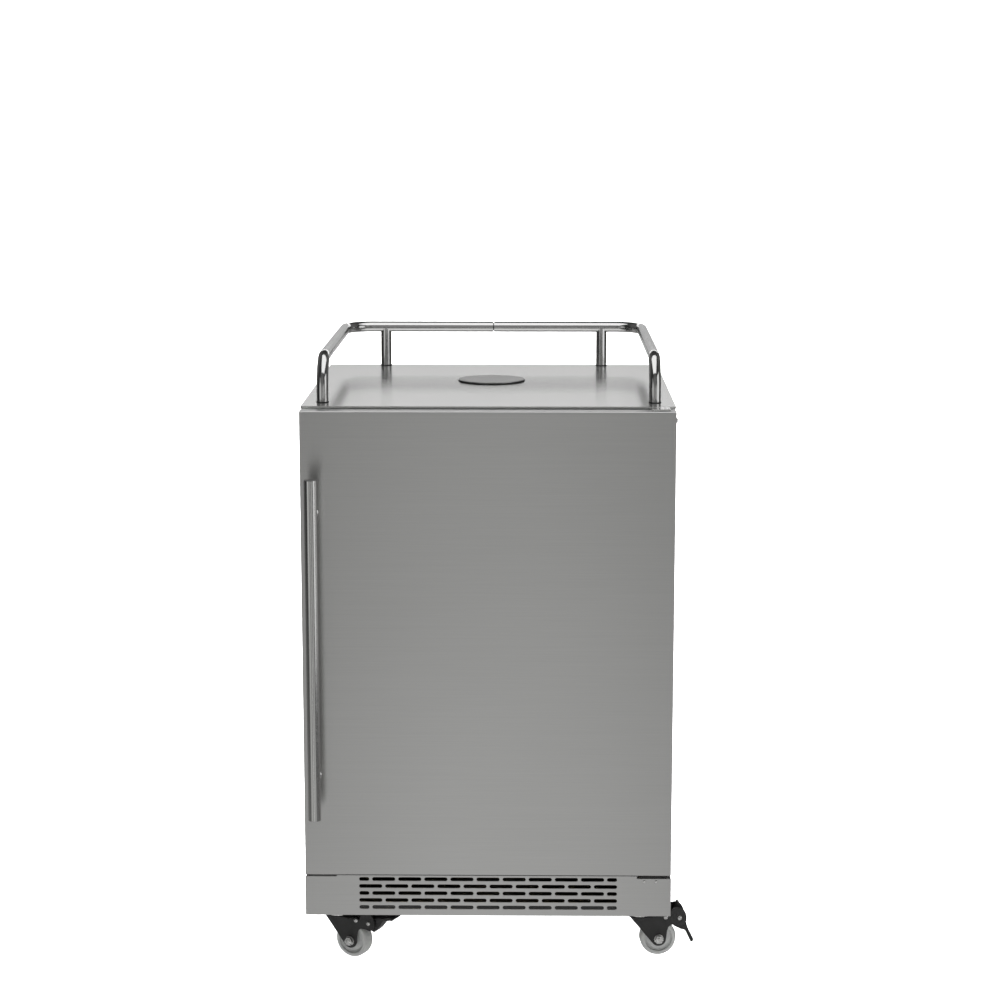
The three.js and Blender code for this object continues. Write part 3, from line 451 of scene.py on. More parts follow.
MERGE_DISTANCE = 1e-6
TINY = 1e-7


def millimetres(points):
    return [(a * MM, b * MM) for a, b in points]


def move(bm, matrix):
    """Transforms a whole bmesh and gives it back."""
    bmesh.ops.transform(bm, matrix=matrix, verts=bm.verts)
    return bm


def plumb(point):
    """A matrix that moves the origin to the floor under a point."""
    return Matrix.Translation((point.x, point.y, 0))


def round_edges(bm, edges, width, segments, clamp=True):
    bmesh.ops.bevel(
        bm,
        geom=edges,
        offset=width,
        segments=segments,
        profile=0.5,
        affect="EDGES",
        clamp_overlap=clamp,
    )


def as_object(name, bm, material, sharp=35):
    """The finished bmesh as an object with shared smooth normals, split at sharp edges."""
    bmesh.ops.recalc_face_normals(bm, faces=bm.faces)
    mesh = bpy.data.meshes.new(name)
    bm.to_mesh(mesh)
    bm.free()
    mesh.shade_smooth()
    mesh.set_sharp_from_angle(angle=radians(sharp))
    mesh.materials.append(MATERIALS[material])
    made = new_object(name, mesh)
    flatten = made.modifiers.new("flat_faces", "WEIGHTED_NORMAL")
    flatten.keep_sharp = True
    return made


def settle(piece, body, slot, *nodes):
    """The piece rides on its body and stands for its CAD nodes, which are hidden; slot is not used."""
    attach(piece, body)
    if nodes:
        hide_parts(*nodes)
    return piece


def add_piece(name, bm, finish, body, *nodes, slot=None, sharp=35):
    """The finished bmesh as a piece in its finish; slot, or else the finish's name, is passed on to
    settle, which does not use it.
    """
    return settle(as_object(name, bm, finish, sharp), body, slot or finish, *nodes)


def add_box(bm, low, high, bevel=0.0):
    """A box with rounded edges."""
    made = bmesh.ops.create_cube(bm, size=1)
    size = Vector(high) - Vector(low)
    middle = (Vector(low) + Vector(high)) / 2
    for vert in made["verts"]:
        vert.co = middle + Vector(a * b for a, b in zip(vert.co, size))
    if bevel:
        edges = {edge for vert in made["verts"] for edge in vert.link_edges}
        round_edges(bm, list(edges), bevel, 3)


def add_lathe(bm, profile, place=Matrix.Identity(4), segments=48):
    """A closed profile of (radius, height) turned round the local Z axis."""
    rings = []
    for radius, height in profile:
        if radius < TINY:
            rings.append([bm.verts.new(place @ Vector((0, 0, height)))])
            continue
        ring = []
        for i in range(segments):
            turn = 2 * pi * i / segments
            ring.append(bm.verts.new(place @ Vector((radius * cos(turn), radius * sin(turn), height))))
        rings.append(ring)
    for first, second in zip(rings, rings[1:]):
        for i in range(segments):
            corners = [first[i % len(first)], first[(i + 1) % len(first)]]
            corners += [second[(i + 1) % len(second)], second[i % len(second)]]
            unique = list(dict.fromkeys(corners))
            if len(unique) > 2:
                bm.faces.new(unique)
    if profile[0] == profile[-1]:
        bmesh.ops.remove_doubles(bm, verts=[v for ring in rings for v in ring], dist=TINY)


def lathe(profile, place=Matrix.Identity(4), segments=48):
    """The turned profile as a bmesh of its own."""
    bm = bmesh.new()
    add_lathe(bm, profile, place, segments)
    return bm


def rounded(points, radius, steps=4):
    """An outline with its corners rounded; radius is one number or one for each point."""
    radii = radius if isinstance(radius, (list, tuple)) else [radius] * len(points)
    outline = []
    for i, corner in enumerate(points):
        corner = Vector(corner)
        before = (Vector(points[i - 1]) - corner).normalized()
        after = (Vector(points[(i + 1) % len(points)]) - corner).normalized()
        angle = acos(max(-1.0, min(1.0, before.dot(after))))
        if radii[i] <= 0 or angle > pi - 0.01:
            outline.append(corner)
            continue
        reach = radii[i] / tan(angle / 2)
        bisector = (before + after).normalized()
        hub = corner + bisector * (radii[i] / sin(angle / 2))
        start = corner + before * reach - hub
        end = corner + after * reach - hub
        for step in range(steps + 1):
            outline.append(hub + start.normalized().slerp(end.normalized(), step / steps) * radii[i])
    return outline


def prism(outline, place, low, high, bevel=0.0, segments=2):
    """An outline in local X and Y, given depth from low to high along local Z, in its place."""
    bm = bmesh.new()
    face = bm.faces.new([bm.verts.new((p[0], p[1], low)) for p in outline])
    made = bmesh.ops.extrude_face_region(bm, geom=[face])
    top = [item for item in made["geom"] if isinstance(item, bmesh.types.BMVert)]
    for vert in top:
        vert.co.z = high
    if bevel:
        rims = list(face.edges)
        rims += [e for e in bm.edges if e.verts[0] in top and e.verts[1] in top]
        round_edges(bm, rims, bevel, segments)
    return move(bm, place)


def merge(bm, other):
    """Adds another bmesh's faces to bm and frees it."""
    mesh = bpy.data.meshes.new("part")
    other.to_mesh(mesh)
    other.free()
    bm.from_mesh(mesh)
    bpy.data.meshes.remove(mesh)
    return bm


# A sweep's mitre widens its section by at most 1 / MITRE_LIMIT; the others are sines of angles.
MITRE_LIMIT = 0.7
PARALLEL = 1e-4
STRAIGHT = 1e-6


def add_sweep(bm, path, section, closed=False, up=Vector((0, 0, 1))):
    """A section carried along a path of points without twist; closed joins its ends."""
    count = len(path)
    rings = []
    side = None
    for i, point in enumerate(path):
        before = path[i - 1] if closed or i else path[i]
        after = path[(i + 1) % count] if closed or i < count - 1 else path[i]
        tangent = (after - before).normalized()
        if side is None:
            side = up.cross(tangent)
            if side.length < PARALLEL:
                side = Vector((1, 0, 0)).cross(tangent)
        side = (side - tangent * side.dot(tangent)).normalized()
        rise = tangent.cross(side)
        if not closed and i in (0, count - 1):
            widen = 1.0
        else:
            incoming = (point - before).normalized()
            widen = 1 / max(MITRE_LIMIT, incoming.dot(tangent))
        turn_axis = (after - point).normalized().cross((point - before).normalized())
        if turn_axis.length > STRAIGHT:
            stretch = turn_axis.normalized().cross(tangent)
        else:
            stretch, widen = side, 1.0
        ring = []
        for a, b in section:
            offset = side * a + rise * b
            offset += stretch * offset.dot(stretch) * (widen - 1)
            ring.append(bm.verts.new(point + offset))
        rings.append(ring)
    pairs = list(zip(rings, rings[1:]))
    if closed:
        pairs.append((rings[-1], rings[0]))
    size = len(section)
    for first, second in pairs:
        for k in range(size):
            bm.faces.new((first[k], first[(k + 1) % size], second[(k + 1) % size], second[k]))
    if not closed:
        bm.faces.new(rings[0][::-1])
        bm.faces.new(rings[-1])


def circle(radius, sides=32):
    return [(radius * cos(2 * pi * i / sides), radius * sin(2 * pi * i / sides)) for i in range(sides)]


def bent_path(corners, radius, steps=12):
    """Corner points joined by straight runs and round bends."""
    path = [corners[0]]
    for before, corner, after in zip(corners, corners[1:], corners[2:]):
        inward = (before - corner).normalized() * radius
        outward = (after - corner).normalized() * radius
        hub = corner + inward + outward
        for i in range(steps + 1):
            turn = pi / 2 * i / steps
            path.append(hub - outward * cos(turn) - inward * sin(turn))
    path.append(corners[-1])
    return path


def facing(place, direction):
    """A matrix whose local Z points along direction, at place."""
    return Matrix.Translation(place) @ Vector(direction).to_track_quat("Z", "Y").to_matrix().to_4x4()


def softened(node, name, material, width, segments=2):
    """A copy of a CAD node with its flat faces merged and its edges rounded."""
    bm = bmesh.new()
    bm.from_mesh(frame["nodes"][node].data)
    bmesh.ops.remove_doubles(bm, verts=bm.verts, dist=MERGE_DISTANCE)
    bmesh.ops.dissolve_limit(bm, angle_limit=radians(1), verts=bm.verts, edges=bm.edges)
    folded = radians(30)
    edges = [e for e in bm.edges if len(e.link_faces) == 2 and e.calc_face_angle(0) > folded]
    round_edges(bm, edges, width, segments)
    bmesh.ops.triangulate(bm, faces=[f for f in bm.faces if len(f.verts) > 4])
    return as_object(name, bm, material, sharp=40)


def soften(node, name, finish, width, body="cabinet", slot=None, segments=2):
    """The softened copy as a piece that stands for its CAD node."""
    return settle(softened(node, name, finish, width, segments), body, slot or finish, node)


def flat_ring(name, node, inner, lip, segments, body):
    """A rubber ring as wide and thick as its CAD node, with chamfered outer rims."""
    low, high = span(node)
    outer = (high.x - low.x) / 2
    section = [(inner, low.z), (outer - lip, low.z), (outer, low.z + lip)]
    section += [(outer, high.z - lip), (outer - lip, high.z), (inner, high.z), (inner, low.z)]
    add_piece(name, lathe(section, plumb(centre(node)), segments), "black_rubber", body, node)


def evaluated_mesh(made):
    """A mesh of the object as its modifiers or its curve settings leave it."""
    evaluated = made.evaluated_get(bpy.context.evaluated_depsgraph_get())
    return bpy.data.meshes.new_from_object(evaluated)


def cut_away(piece, cutter_bm):
    """Cuts a bmesh out of a piece."""
    mesh = bpy.data.meshes.new("cutter")
    cutter_bm.to_mesh(mesh)
    cutter_bm.free()
    cutter = new_object("cutter", mesh)
    modifier = piece.modifiers.new("cut", "BOOLEAN")
    modifier.object = cutter
    modifier.operation = "DIFFERENCE"
    modifier.solver = "EXACT"
    result = evaluated_mesh(piece)
    piece.modifiers.clear()
    piece.data = result
    bpy.data.objects.remove(cutter)
    piece.data.shade_smooth()
    piece.data.set_sharp_from_angle(angle=radians(35))


def paint_box(piece, material, low, high):
    """Gives the part of a piece's surface that lies inside a box another material."""
    bm = bmesh.new()
    bm.from_mesh(piece.data)
    for corner in (low, high):
        for axis in (Vector((1, 0, 0)), Vector((0, 0, 1))):
            everything = [*bm.verts, *bm.edges, *bm.faces]
            bmesh.ops.bisect_plane(bm, geom=everything, plane_co=corner, plane_no=axis)
    for face in bm.faces:
        middle = face.calc_center_median()
        if all(a < b < c for a, b, c in zip(low, middle, high)):
            face.material_index = 1
    bm.to_mesh(piece.data)
    bm.free()
    piece.data.materials.append(MATERIALS[material])


def add_screw(bm, place, direction, radius, height=1.6 * MM):
    """A pan-head screw with a recess, whose head stands on place."""
    shares = [(0.5, 0), (1, 0), (1, 0.35), (0.9, 0.75), (0.62, 1), (0.45, 1), (0.3, 0.3), (0, 0.3)]
    sunk = -1.2 * MM
    profile = [(0, sunk), (radius * 0.5, sunk)]
    profile += [(radius * across, height * up) for across, up in shares]
    add_lathe(bm, profile, facing(place, direction), 24)


# ---------- Cabinet ----------


def sheet_with_slots(outline, holes, thickness, edge):
    """A flat sheet in local X and Y with rounded rims on its outline and holes."""
    curve = bpy.data.curves.new("sheet", "CURVE")
    curve.dimensions = "2D"
    curve.fill_mode = "BOTH"
    curve.extrude = thickness / 2 - edge
    curve.bevel_depth = edge
    curve.bevel_resolution = 2
    curve.offset = -edge
    for points in [outline, *holes]:
        spline = curve.splines.new("POLY")
        spline.points.add(len(points) - 1)
        for target, point in zip(spline.points, points):
            target.co = (point[0], point[1], 0, 1)
        spline.use_cyclic_u = True
    holder = new_object("sheet", curve)
    mesh = evaluated_mesh(holder)
    bm = bmesh.new()
    bm.from_mesh(mesh)
    bpy.data.objects.remove(holder)
    bpy.data.meshes.remove(mesh)
    bmesh.ops.remove_doubles(bm, verts=bm.verts, dist=MERGE_DISTANCE)
    return bm


def slot_outline(x, y, length):
    reach = (length - SLOT_HEIGHT) / 2
    radius = SLOT_HEIGHT / 2
    steps = 8
    points = []
    for side in (1, -1):
        for i in range(steps + 1):
            turn = side * (-pi / 2) + pi * i / steps
            points.append((x + side * reach + radius * cos(turn), y + radius * sin(turn)))
    return points


def upright(place):
    """A matrix that stands a sheet up: its X stays, its Y becomes Z, and its back faces +Y."""
    return Matrix.Translation(place) @ Matrix.Rotation(pi / 2, 4, "X")


def end_view(place):
    """A matrix that turns an outline in X and Y into one in Y and Z, with its depth along +X."""
    turn = Matrix(((0, 0, 1, 0), (1, 0, 0, 0), (0, 1, 0, 0), (0, 0, 0, 1)))
    return Matrix.Translation(place) @ turn


SLOT_PITCH = 42.3 * MM
SLOT_LENGTH = 37.3 * MM
SLOT_SHORT = 16 * MM
SLOT_HEIGHT = 6 * MM
SLOT_FIELD = 417.6 * MM
ROW_PITCH = 11.87 * MM
ROW_COUNT = 5
LONG_SLOTS = 10
GRILLE_MIDDLE_Z = 138.1 * MM


def grille_slots(middle_height):
    """Rows of long slots; every other row is shifted and ends in two short ones."""
    holes = []
    for row in range(ROW_COUNT):
        y = middle_height + (row - (ROW_COUNT - 1) / 2) * ROW_PITCH
        shifted = row % 2 == 0
        count = LONG_SLOTS - 1 if shifted else LONG_SLOTS
        for i in range(count):
            holes.append(slot_outline((i - (count - 1) / 2) * SLOT_PITCH, y, SLOT_LENGTH))
        if shifted:
            end = (SLOT_FIELD - SLOT_SHORT) / 2
            holes += [slot_outline(x, y, SLOT_SHORT) for x in (-end, end)]
    return holes


def kick_grille():
    """A slotted sheet with side and bottom flanges; its upper corners are cut down."""
    low, high = span("kick_grille")
    half = (high.x - low.x) / 2
    height = high.z - low.z
    cut_left, cut_right = 2 * MM, 4.3 * MM
    tab_left, tab_right = -245.5 * MM, 241 * MM
    corners = [(-half, 0), (half, 0), (half, height - cut_right), (tab_right, height - cut_right)]
    corners += [(tab_right, height), (tab_left, height)]
    corners += [(tab_left, height - cut_left), (-half, height - cut_left)]
    outline = rounded(corners, [r * MM for r in (1.2, 1.2, 0.8, 0.4, 0.4, 0.4, 0.4, 0.8)])
    sheet, edge = 1.5 * MM, 0.3 * MM
    bm = sheet_with_slots(outline, grille_slots(GRILLE_MIDDLE_Z - low.z), sheet, 0.35 * MM)
    move(bm, upright(Vector((MIDDLE_X, low.y + sheet / 2, low.z))))
    inset = 0.4 * MM
    front = low.y + 0.6 * MM
    side_top, flange_back = high.z - 6 * MM, low.y + 5 * MM
    for x in (low.x, high.x - sheet):
        add_box(bm, (x, front, low.z + inset), (x + sheet, high.y, side_top), edge)
    flange_end = (high.x - inset, flange_back, low.z + sheet)
    add_box(bm, (low.x + inset, front, low.z), flange_end, edge)
    add_piece("grille_sheet", bm, "brushed_stainless", "cabinet", "kick_grille")
    bm = bmesh.new()
    nodes = ("grille_screw_left", "grille_screw_right")
    for node in nodes:
        place = centre(node)
        place.y = low.y - 0.1 * MM
        add_screw(bm, place, (0, -1, 0), 2.8 * MM, 1.1 * MM)
    add_piece("grille_screws", bm, "zinc_plated", "cabinet", *nodes)


def cabinet_steel():
    """Shell, worktop, back panel and base, with rounded folds and their screws."""
    shell = softened("cabinet_shell", "shell_sheet", "brushed_side", 0.7 * MM)
    # The lip that can be seen through the lowest slots is given black steel as painted shade, standing in
    # for the shadow behind the grille.
    low, high = span("kick_grille")
    end = 45 * MM
    lip_low = Vector((low.x + end, SHELL_FRONT - 1 * MM, low.z - 10 * MM))
    lip_high = Vector((high.x - end, SHELL_FRONT + 4 * MM, low.z + 14 * MM))
    paint_box(shell, "black_steel", lip_low, lip_high)
    settle(shell, "cabinet", "brushed_stainless", "cabinet_shell")
    steel = "brushed_stainless"
    soften("worktop", "worktop_sheet", "brushed_worktop", 1.45 * MM, slot=steel, segments=5)
    soften("back_panel", "back_sheet", "galvanised_sheet", 0.4 * MM)
    # The galvanised base pan is given black steel as painted shade, standing in for the shadow under the
    # cabinet.
    soften("base_pan", "base_sheet", "black_steel", 0.5 * MM, slot="galvanised_sheet")
    low, high = span("back_panel")
    inset = 9 * MM
    left, right = low.x + inset, high.x - inset
    places = [(x, z) for x in (left, (low.x + high.x) / 2, right) for z in (low.z + inset, high.z - inset)]
    for share in (0.25, 0.5, 0.75):
        places += [(x, low.z + share * (high.z - low.z)) for x in (left, right)]
    bm = bmesh.new()
    for x, z in places:
        add_screw(bm, Vector((x, high.y, z)), (0, 1, 0), 3.4 * MM)
    add_piece("back_panel_screws", bm, "zinc_plated", "cabinet")


def tower_cover():
    low, high = span("tower_hole_cap")
    radius = (high.x - low.x) / 2
    profile = [(0, low.z), (radius - 0.4 * MM, low.z), (radius, low.z + 0.3 * MM)]
    profile += [(radius, high.z - 0.6 * MM), (radius - 0.2 * MM, high.z - 0.2 * MM)]
    profile += [(radius - 0.7 * MM, high.z), (0, high.z)]
    cap = lathe(profile, plumb(centre("tower_hole_cap")), 128)
    add_piece("tower_cap_disc", cap, "brushed_stainless", "tower_cap", "tower_hole_cap")
    flat_ring("tower_gasket_ring", "tower_cap_gasket", 40 * MM, 0.4 * MM, 128, "tower_cap")


# ---------- Guard rail ----------

RAIL_BEND = 48 * MM
TUBE_RADIUS = 9.5 * MM
POST_RADIUS = 9.4 * MM


def guard_rail():
    for side in ("left", "right"):
        low, high = span("rail_" + side)
        front = centre("rail_washer_front_" + side)
        rear = centre("rail_washer_rear_" + side)
        foot = span("rail_washer_front_" + side)[1].z + 0.3 * MM
        axis_z = high.z - TUBE_RADIUS
        seam = low.x if side == "right" else high.x
        corners = [
            Vector((front.x, front.y, foot)),
            Vector((front.x, front.y, axis_z)),
            Vector((front.x, rear.y, axis_z)),
            Vector((seam, rear.y, axis_z)),
        ]
        bm = bmesh.new()
        add_sweep(bm, bent_path(corners, RAIL_BEND, 16), circle(TUBE_RADIUS, 48))
        add_piece("rail_tube_" + side, bm, "polished_tube", "cabinet", "rail_" + side)
        top = axis_z - 2 * MM
        post = [(0, foot), (POST_RADIUS, foot), (POST_RADIUS, top), (0, top)]
        add_piece("rail_post_" + side, lathe(post, plumb(rear)), "polished_tube", "cabinet")
        for end in ("front", "rear"):
            place = end + "_" + side
            flat_ring("post_ring_" + place, "rail_washer_" + place, 3.5 * MM, 0.3 * MM, 48, "cabinet")


# ---------- Door ----------


def door():
    """A folded tray of sheet steel with its inner panel, gasket, handle and edge plug."""
    width, depth, height = DOOR_HIGH - DOOR_LOW
    corners = [(depth, height), (0, height), (0, 0), (depth, 0)]
    section = rounded(corners, [r * MM for r in (1.2, 2.5, 0.8, 0.8)], 6)
    sheet = prism(section, end_view(DOOR_LOW), 0, width, 0.8 * MM, 3)
    add_piece("door_sheet", sheet, "brushed_stainless", "door", "door_skin")
    soften("door_liner", "door_inner_panel", "liner_plastic", 1.3 * MM, "door", segments=4)
    door_gasket()
    door_handle()
    middle = centre("door_side_plug")
    proud = span("door_side_plug")[1].x - DOOR_HIGH.x
    bm = bmesh.new()
    add_screw(bm, Vector((DOOR_HIGH.x, middle.y, middle.z)), (1, 0, 0), 3.8 * MM, proud)
    add_piece("door_edge_plug", bm, "zinc_plated", "door", "door_side_plug")


def door_gasket():
    """A bellows section carried round a rectangle."""
    low, high = span("door_gasket")
    half = 8 * MM
    deep = (high.y - low.y) / 2
    x0, x1, z0, z1 = low.x + half, high.x - half, low.z + half, high.z - half
    outline = rounded([(x0, z0), (x1, z0), (x1, z1), (x0, z1)], half * 1.02, 6)
    path = [Vector((x, low.y + deep, z)) for x, z in outline]
    shares = [(1, -1), (1, -0.55), (0.6, -0.4), (0.6, -0.1), (0.95, 0.2), (0.95, 0.8), (0.75, 1)]
    right = [(half * a, deep * b) for a, b in shares]
    section = [*right, *((-a, b) for a, b in reversed(right))]
    bm = bmesh.new()
    add_sweep(bm, path, section, closed=True, up=Vector((0, 1, 0)))
    add_piece("gasket_bellows", bm, "black_rubber", "door", "door_gasket", sharp=25)


def door_handle():
    low, high = span("handle_bar")
    radius = (high.x - low.x) / 2
    middle = centre("handle_bar")
    edge = 0.8 * MM
    rim = [(0, 0), (radius - edge, 0), (radius - edge * 0.3, edge * 0.3), (radius, edge)]
    profile = [(r, low.z + up) for r, up in rim]
    profile += [(r, high.z - down) for r, down in reversed(rim)]
    bar = lathe(profile, plumb(middle), 64)
    add_piece("handle_tube", bar, "brushed_bar", "door", "handle_bar", slot="polished_tube")
    reach = DOOR_FACE - middle.y - 3.3 * MM
    post = millimetres([(0, 0), (8, 0), (8, 2), (7.3, 2.8), (6.5, 3.4)])
    post += [(6.5 * MM, reach), (0, reach)]
    for end in ("lower", "upper"):
        node = "handle_standoff_" + end
        place = facing(Vector((middle.x, DOOR_FACE - 0.2 * MM, centre(node).z)), (0, -1, 0))
        piece = lathe(post, place, 40)
        add_piece("handle_post_" + end, piece, "brushed_bar", "door", node, slot="polished_tube")


def hinges():
    soften("upper_hinge", "hinge_plate_upper", "zinc_plated", 0.5 * MM)
    soften("lower_hinge", "hinge_plate_lower", "black_steel", 0.5 * MM)


# ---------- Casters ----------

CASTER_NAMES = ("front_left", "front_right", "rear_left", "rear_right")
TRAIL = 30 * MM
AXLE_Z = 30 * MM
FORK_INNER = 13 * MM
FORK_OUTER = 15.4 * MM
CROWN = (66.5 * MM, 69.5 * MM)
BRAKE_PIVOT = (65 * MM, 65 * MM)
BRAKE_STOP = (41.5 * MM, 67 * MM)


def caster_matrix(name):
    """Local X is the way the wheel trails and the origin is under the swivel axis."""
    pivot = Vector(JOINTS["swivel_turn_" + name]["pos_m"])
    axle = Vector(JOINTS["wheel_spin_" + name]["axis"])
    yaw = atan2(-axle.x, axle.y)
    return plumb(pivot) @ Matrix.Rotation(yaw, 4, "Z")


def side_view(y):
    """Stands an outline up in the caster's X and Z plane, with its depth along +Y from y."""
    flip = Matrix.Scale(-1, 4, (0, 0, 1))
    return Matrix.Translation((0, y, 0)) @ Matrix.Rotation(pi / 2, 4, "X") @ flip


def fork_outline(braked):
    """From the crown down the leading edge, round the axle's eye and up the trailing edge."""
    outline = [(-18.5, 69.5), (18.4, 24.5)]
    eye_start, eye_end, eye_radius, steps = 211, 351, 12.5, 12
    for i in range(steps + 1):
        turn = radians(eye_start + i * (eye_end - eye_start) / steps)
        outline.append((30 + eye_radius * cos(turn), 30 + eye_radius * sin(turn)))
    if braked:
        outline += [(44, 44), (46, 50), (51, 54), (60, 53.5), (68, 52), (73, 55), (76.5, 60)]
        outline += [(76.8, 67), (75, 74), (71, 80), (66, 83.5), (60, 84), (54, 83)]
        outline += [(50, 77), (48, 69.5)]
    else:
        outline += [(41, 50), (38, 69.5)]
    return millimetres(outline)


def caster_fork(name, matrix, braked):
    bm = bmesh.new()
    for y in (-FORK_OUTER, FORK_INNER):
        thickness = FORK_OUTER - FORK_INNER
        merge(bm, prism(fork_outline(braked), side_view(y), 0, thickness, 0.5 * MM))
    crown_back = (30 if braked else 37) * MM
    low = (-16 * MM, -FORK_OUTER, CROWN[0])
    add_box(bm, low, (crown_back, FORK_OUTER, CROWN[1]), 1.1 * MM)
    dish = [(0, 66.5), (18.5, 66.5), (20, 67.3), (20, 68.7), (18.5, 69.5), (0, 69.5)]
    add_lathe(bm, millimetres(dish), segments=64)
    body = "swivel_" + name
    add_piece("fork_press_" + name, move(bm, matrix), "black_steel", body, "caster_fork_" + name)
    if braked:
        dome = [(0, 0), (3.8, 0), (3.8, 0.6), (3.3, 1.3), (2.2, 1.8), (1.1, 2.0), (1.0, 1.5), (0, 1.4)]
        bm = bmesh.new()
        for x, z in (BRAKE_PIVOT, BRAKE_STOP):
            for side in (-1, 1):
                place = facing(Vector((x, side * (FORK_OUTER - 0.2 * MM), z)), (0, side, 0))
                add_lathe(bm, millimetres(dome), place, 32)
        add_piece("brake_rivets_" + name, move(bm, matrix), "zinc_plated", body)


def caster_stem(name, matrix):
    stem = [(0, 61), (7, 61), (8, 62), (8, 64.5), (6, 66), (4, 66), (4, 70), (20, 70), (20.5, 70.6)]
    stem += [(20.5, 72.6), (19.6, 73.6), (16, 76), (12, 77.6), (9, 78.2), (5, 78.4), (5, 94.5), (0, 94.5)]
    bm = lathe(millimetres(stem), segments=64)
    merge(bm, prism(circle(9.8 * MM, 6), Matrix.Identity(4), 77.5 * MM, 94.7 * MM, 0.6 * MM))
    add_piece("swivel_head_" + name, move(bm, matrix), "zinc_plated", "cabinet", "caster_stem_" + name)


def caster_wheel(name, matrix):
    """Tread and core; both are turned round the axle, which lies along the caster's Y."""
    place = matrix @ facing(Vector((TRAIL, 0, AXLE_Z)), (0, 1, 0))
    body = "wheel_" + name
    half = [(21.5, 9.5), (22.3, 11), (23.5, 11.6), (26.2, 11.4), (28.2, 10.3), (29.4, 8.4)]
    half += [(30, 6.2), (30, 0.3)]
    parting_line = (29.9, 0)
    tread = [*half, parting_line, *((r, -y) for r, y in reversed(half)), half[0]]
    bm = lathe(millimetres(tread), place, 96)
    add_piece("wheel_tread_" + name, bm, "grey_rubber", body, "caster_wheel_" + name, sharp=25)
    half = [(4.4, 12.3), (8.6, 12.3), (9.4, 12), (10.4, 9.2), (12, 8.2), (19, 8.2), (20.6, 9.2), (22, 9.4)]
    core = [*half, *((r, -y) for r, y in reversed(half)), half[0]]
    bm = lathe(millimetres(core), place, 96)
    ribs, half_rib, half_width = 8, 0.8 * MM, 8.4 * MM
    for i in range(ribs):
        rib = bmesh.new()
        add_box(rib, (9.5 * MM, -half_rib, -half_width), (20.5 * MM, half_rib, half_width), 0.4 * MM)
        merge(bm, move(rib, place @ Matrix.Rotation(2 * pi * i / ribs, 4, "Z")))
    add_piece("wheel_core_" + name, bm, "wheel_core", body, slot="grey_rubber", sharp=25)


def add_nut(bm, place, low, high):
    """A hexagon with its corners turned off at both faces."""
    merge(bm, prism(circle(7.5 * MM, 6), place, low, high, 0.7 * MM))


def caster_axle(name, matrix):
    """A washer, a nut and a bolt with a few turns of thread past the nut."""
    place = matrix @ facing(Vector((TRAIL, 0, AXLE_Z)), (0, -1, 0))
    outer = FORK_OUTER + 0.3 * MM
    washer = [(4, 0), (7.8, 0), (8, 0.3), (8, 0.9), (7.8, 1.1), (4, 1.1), (4, 0)]
    bm = lathe([(r, outer + up) for r, up in millimetres(washer)], place)
    nut_base = outer + 1.1 * MM
    add_nut(bm, place, nut_base, nut_base + 5.4 * MM)
    bolt = 4 * MM
    turn_start = outer + 6.4 * MM
    thread = [(0, -outer - 0.5 * MM), (bolt, -outer - 0.5 * MM), (bolt, turn_start)]
    for _ in range(3):
        groove = millimetres([(4, 0.1), (3.6, 0.3), (4, 0.5)])
        thread += [(r, turn_start + up) for r, up in groove]
        turn_start += 0.45 * MM
    thread += [(3.4 * MM, turn_start + 0.2 * MM), (0, turn_start + 0.3 * MM)]
    add_lathe(bm, thread, place, 40)
    add_nut(bm, place, -outer - 5 * MM, -outer)
    add_piece("axle_bolt_" + name, bm, "zinc_plated", "swivel_" + name, "caster_axle_" + name)


def brake_lever(name, matrix):
    """Drawn locked, like the CAD lever, and turned back to where the brake rests."""
    swing = radians(JOINTS["brake_press_" + name]["range_deg"][0])
    tip = [(19, -28.5), (23.3, -36.8), (23.6, -39.5), (22.4, -41.4), (20.4, -42.2), (18.6, -41.8)]
    side = [(-2.5, 23.9), (0.4, 23.9), (3.5, 18), (6, 12), (8.4, 4), (10, -4), (12.3, -12), (15, -20)]
    side += [*tip, (16.5, -37), (13, -29.5), (9.5, -23), (3, -21), (-3, -18), (-9, -14.5)]
    side += [(-13.4, -11), (-12, -4), (-9, 4), (-7, 10), (-5, 14)]
    bm = prism(millimetres(side), side_view(-11 * MM), 0, 22 * MM, 0.8 * MM)
    pedal = [(13.6, -21.6), (15.4, -21), *tip, (18, -38.5), (16, -31)]
    merge(bm, prism(millimetres(pedal), side_view(-15 * MM), 0, 30 * MM, 0.9 * MM))
    ribs = 4
    half_rib, half_width = Vector((0.7 * MM, 0, 0.6 * MM)), Vector((0, 13 * MM, 0))
    for i in range(ribs):
        share = i / (ribs - 1)
        place = Vector(((15.9 + 6.0 * share) * MM, 0, (-23.5 - 12.4 * share) * MM))
        rib = bmesh.new()
        add_box(rib, -half_rib - half_width, half_rib + half_width, 0.4 * MM)
        merge(bm, move(rib, Matrix.Translation(place)))
    pivot = Matrix.Translation((BRAKE_PIVOT[0], 0, BRAKE_PIVOT[1])) @ Matrix.Rotation(swing, 4, "Y")
    move(bm, matrix @ pivot)
    add_piece("brake_pedal_" + name, bm, "black_plastic", "brake_" + name, "brake_lever_" + name)


def casters():
    for name in CASTER_NAMES:
        matrix = caster_matrix(name)
        braked = name.startswith("front")
        caster_stem(name, matrix)
        caster_fork(name, matrix, braked)
        caster_wheel(name, matrix)
        caster_axle(name, matrix)
        if braked:
            brake_lever(name, matrix)


# ---------- Keg compartment ----------

STEP_DEPTH = 460 * MM
STEP_HEIGHT = 338 * MM
STEP_PROUD = 3 * MM
TOWER_BORE = 38 * MM


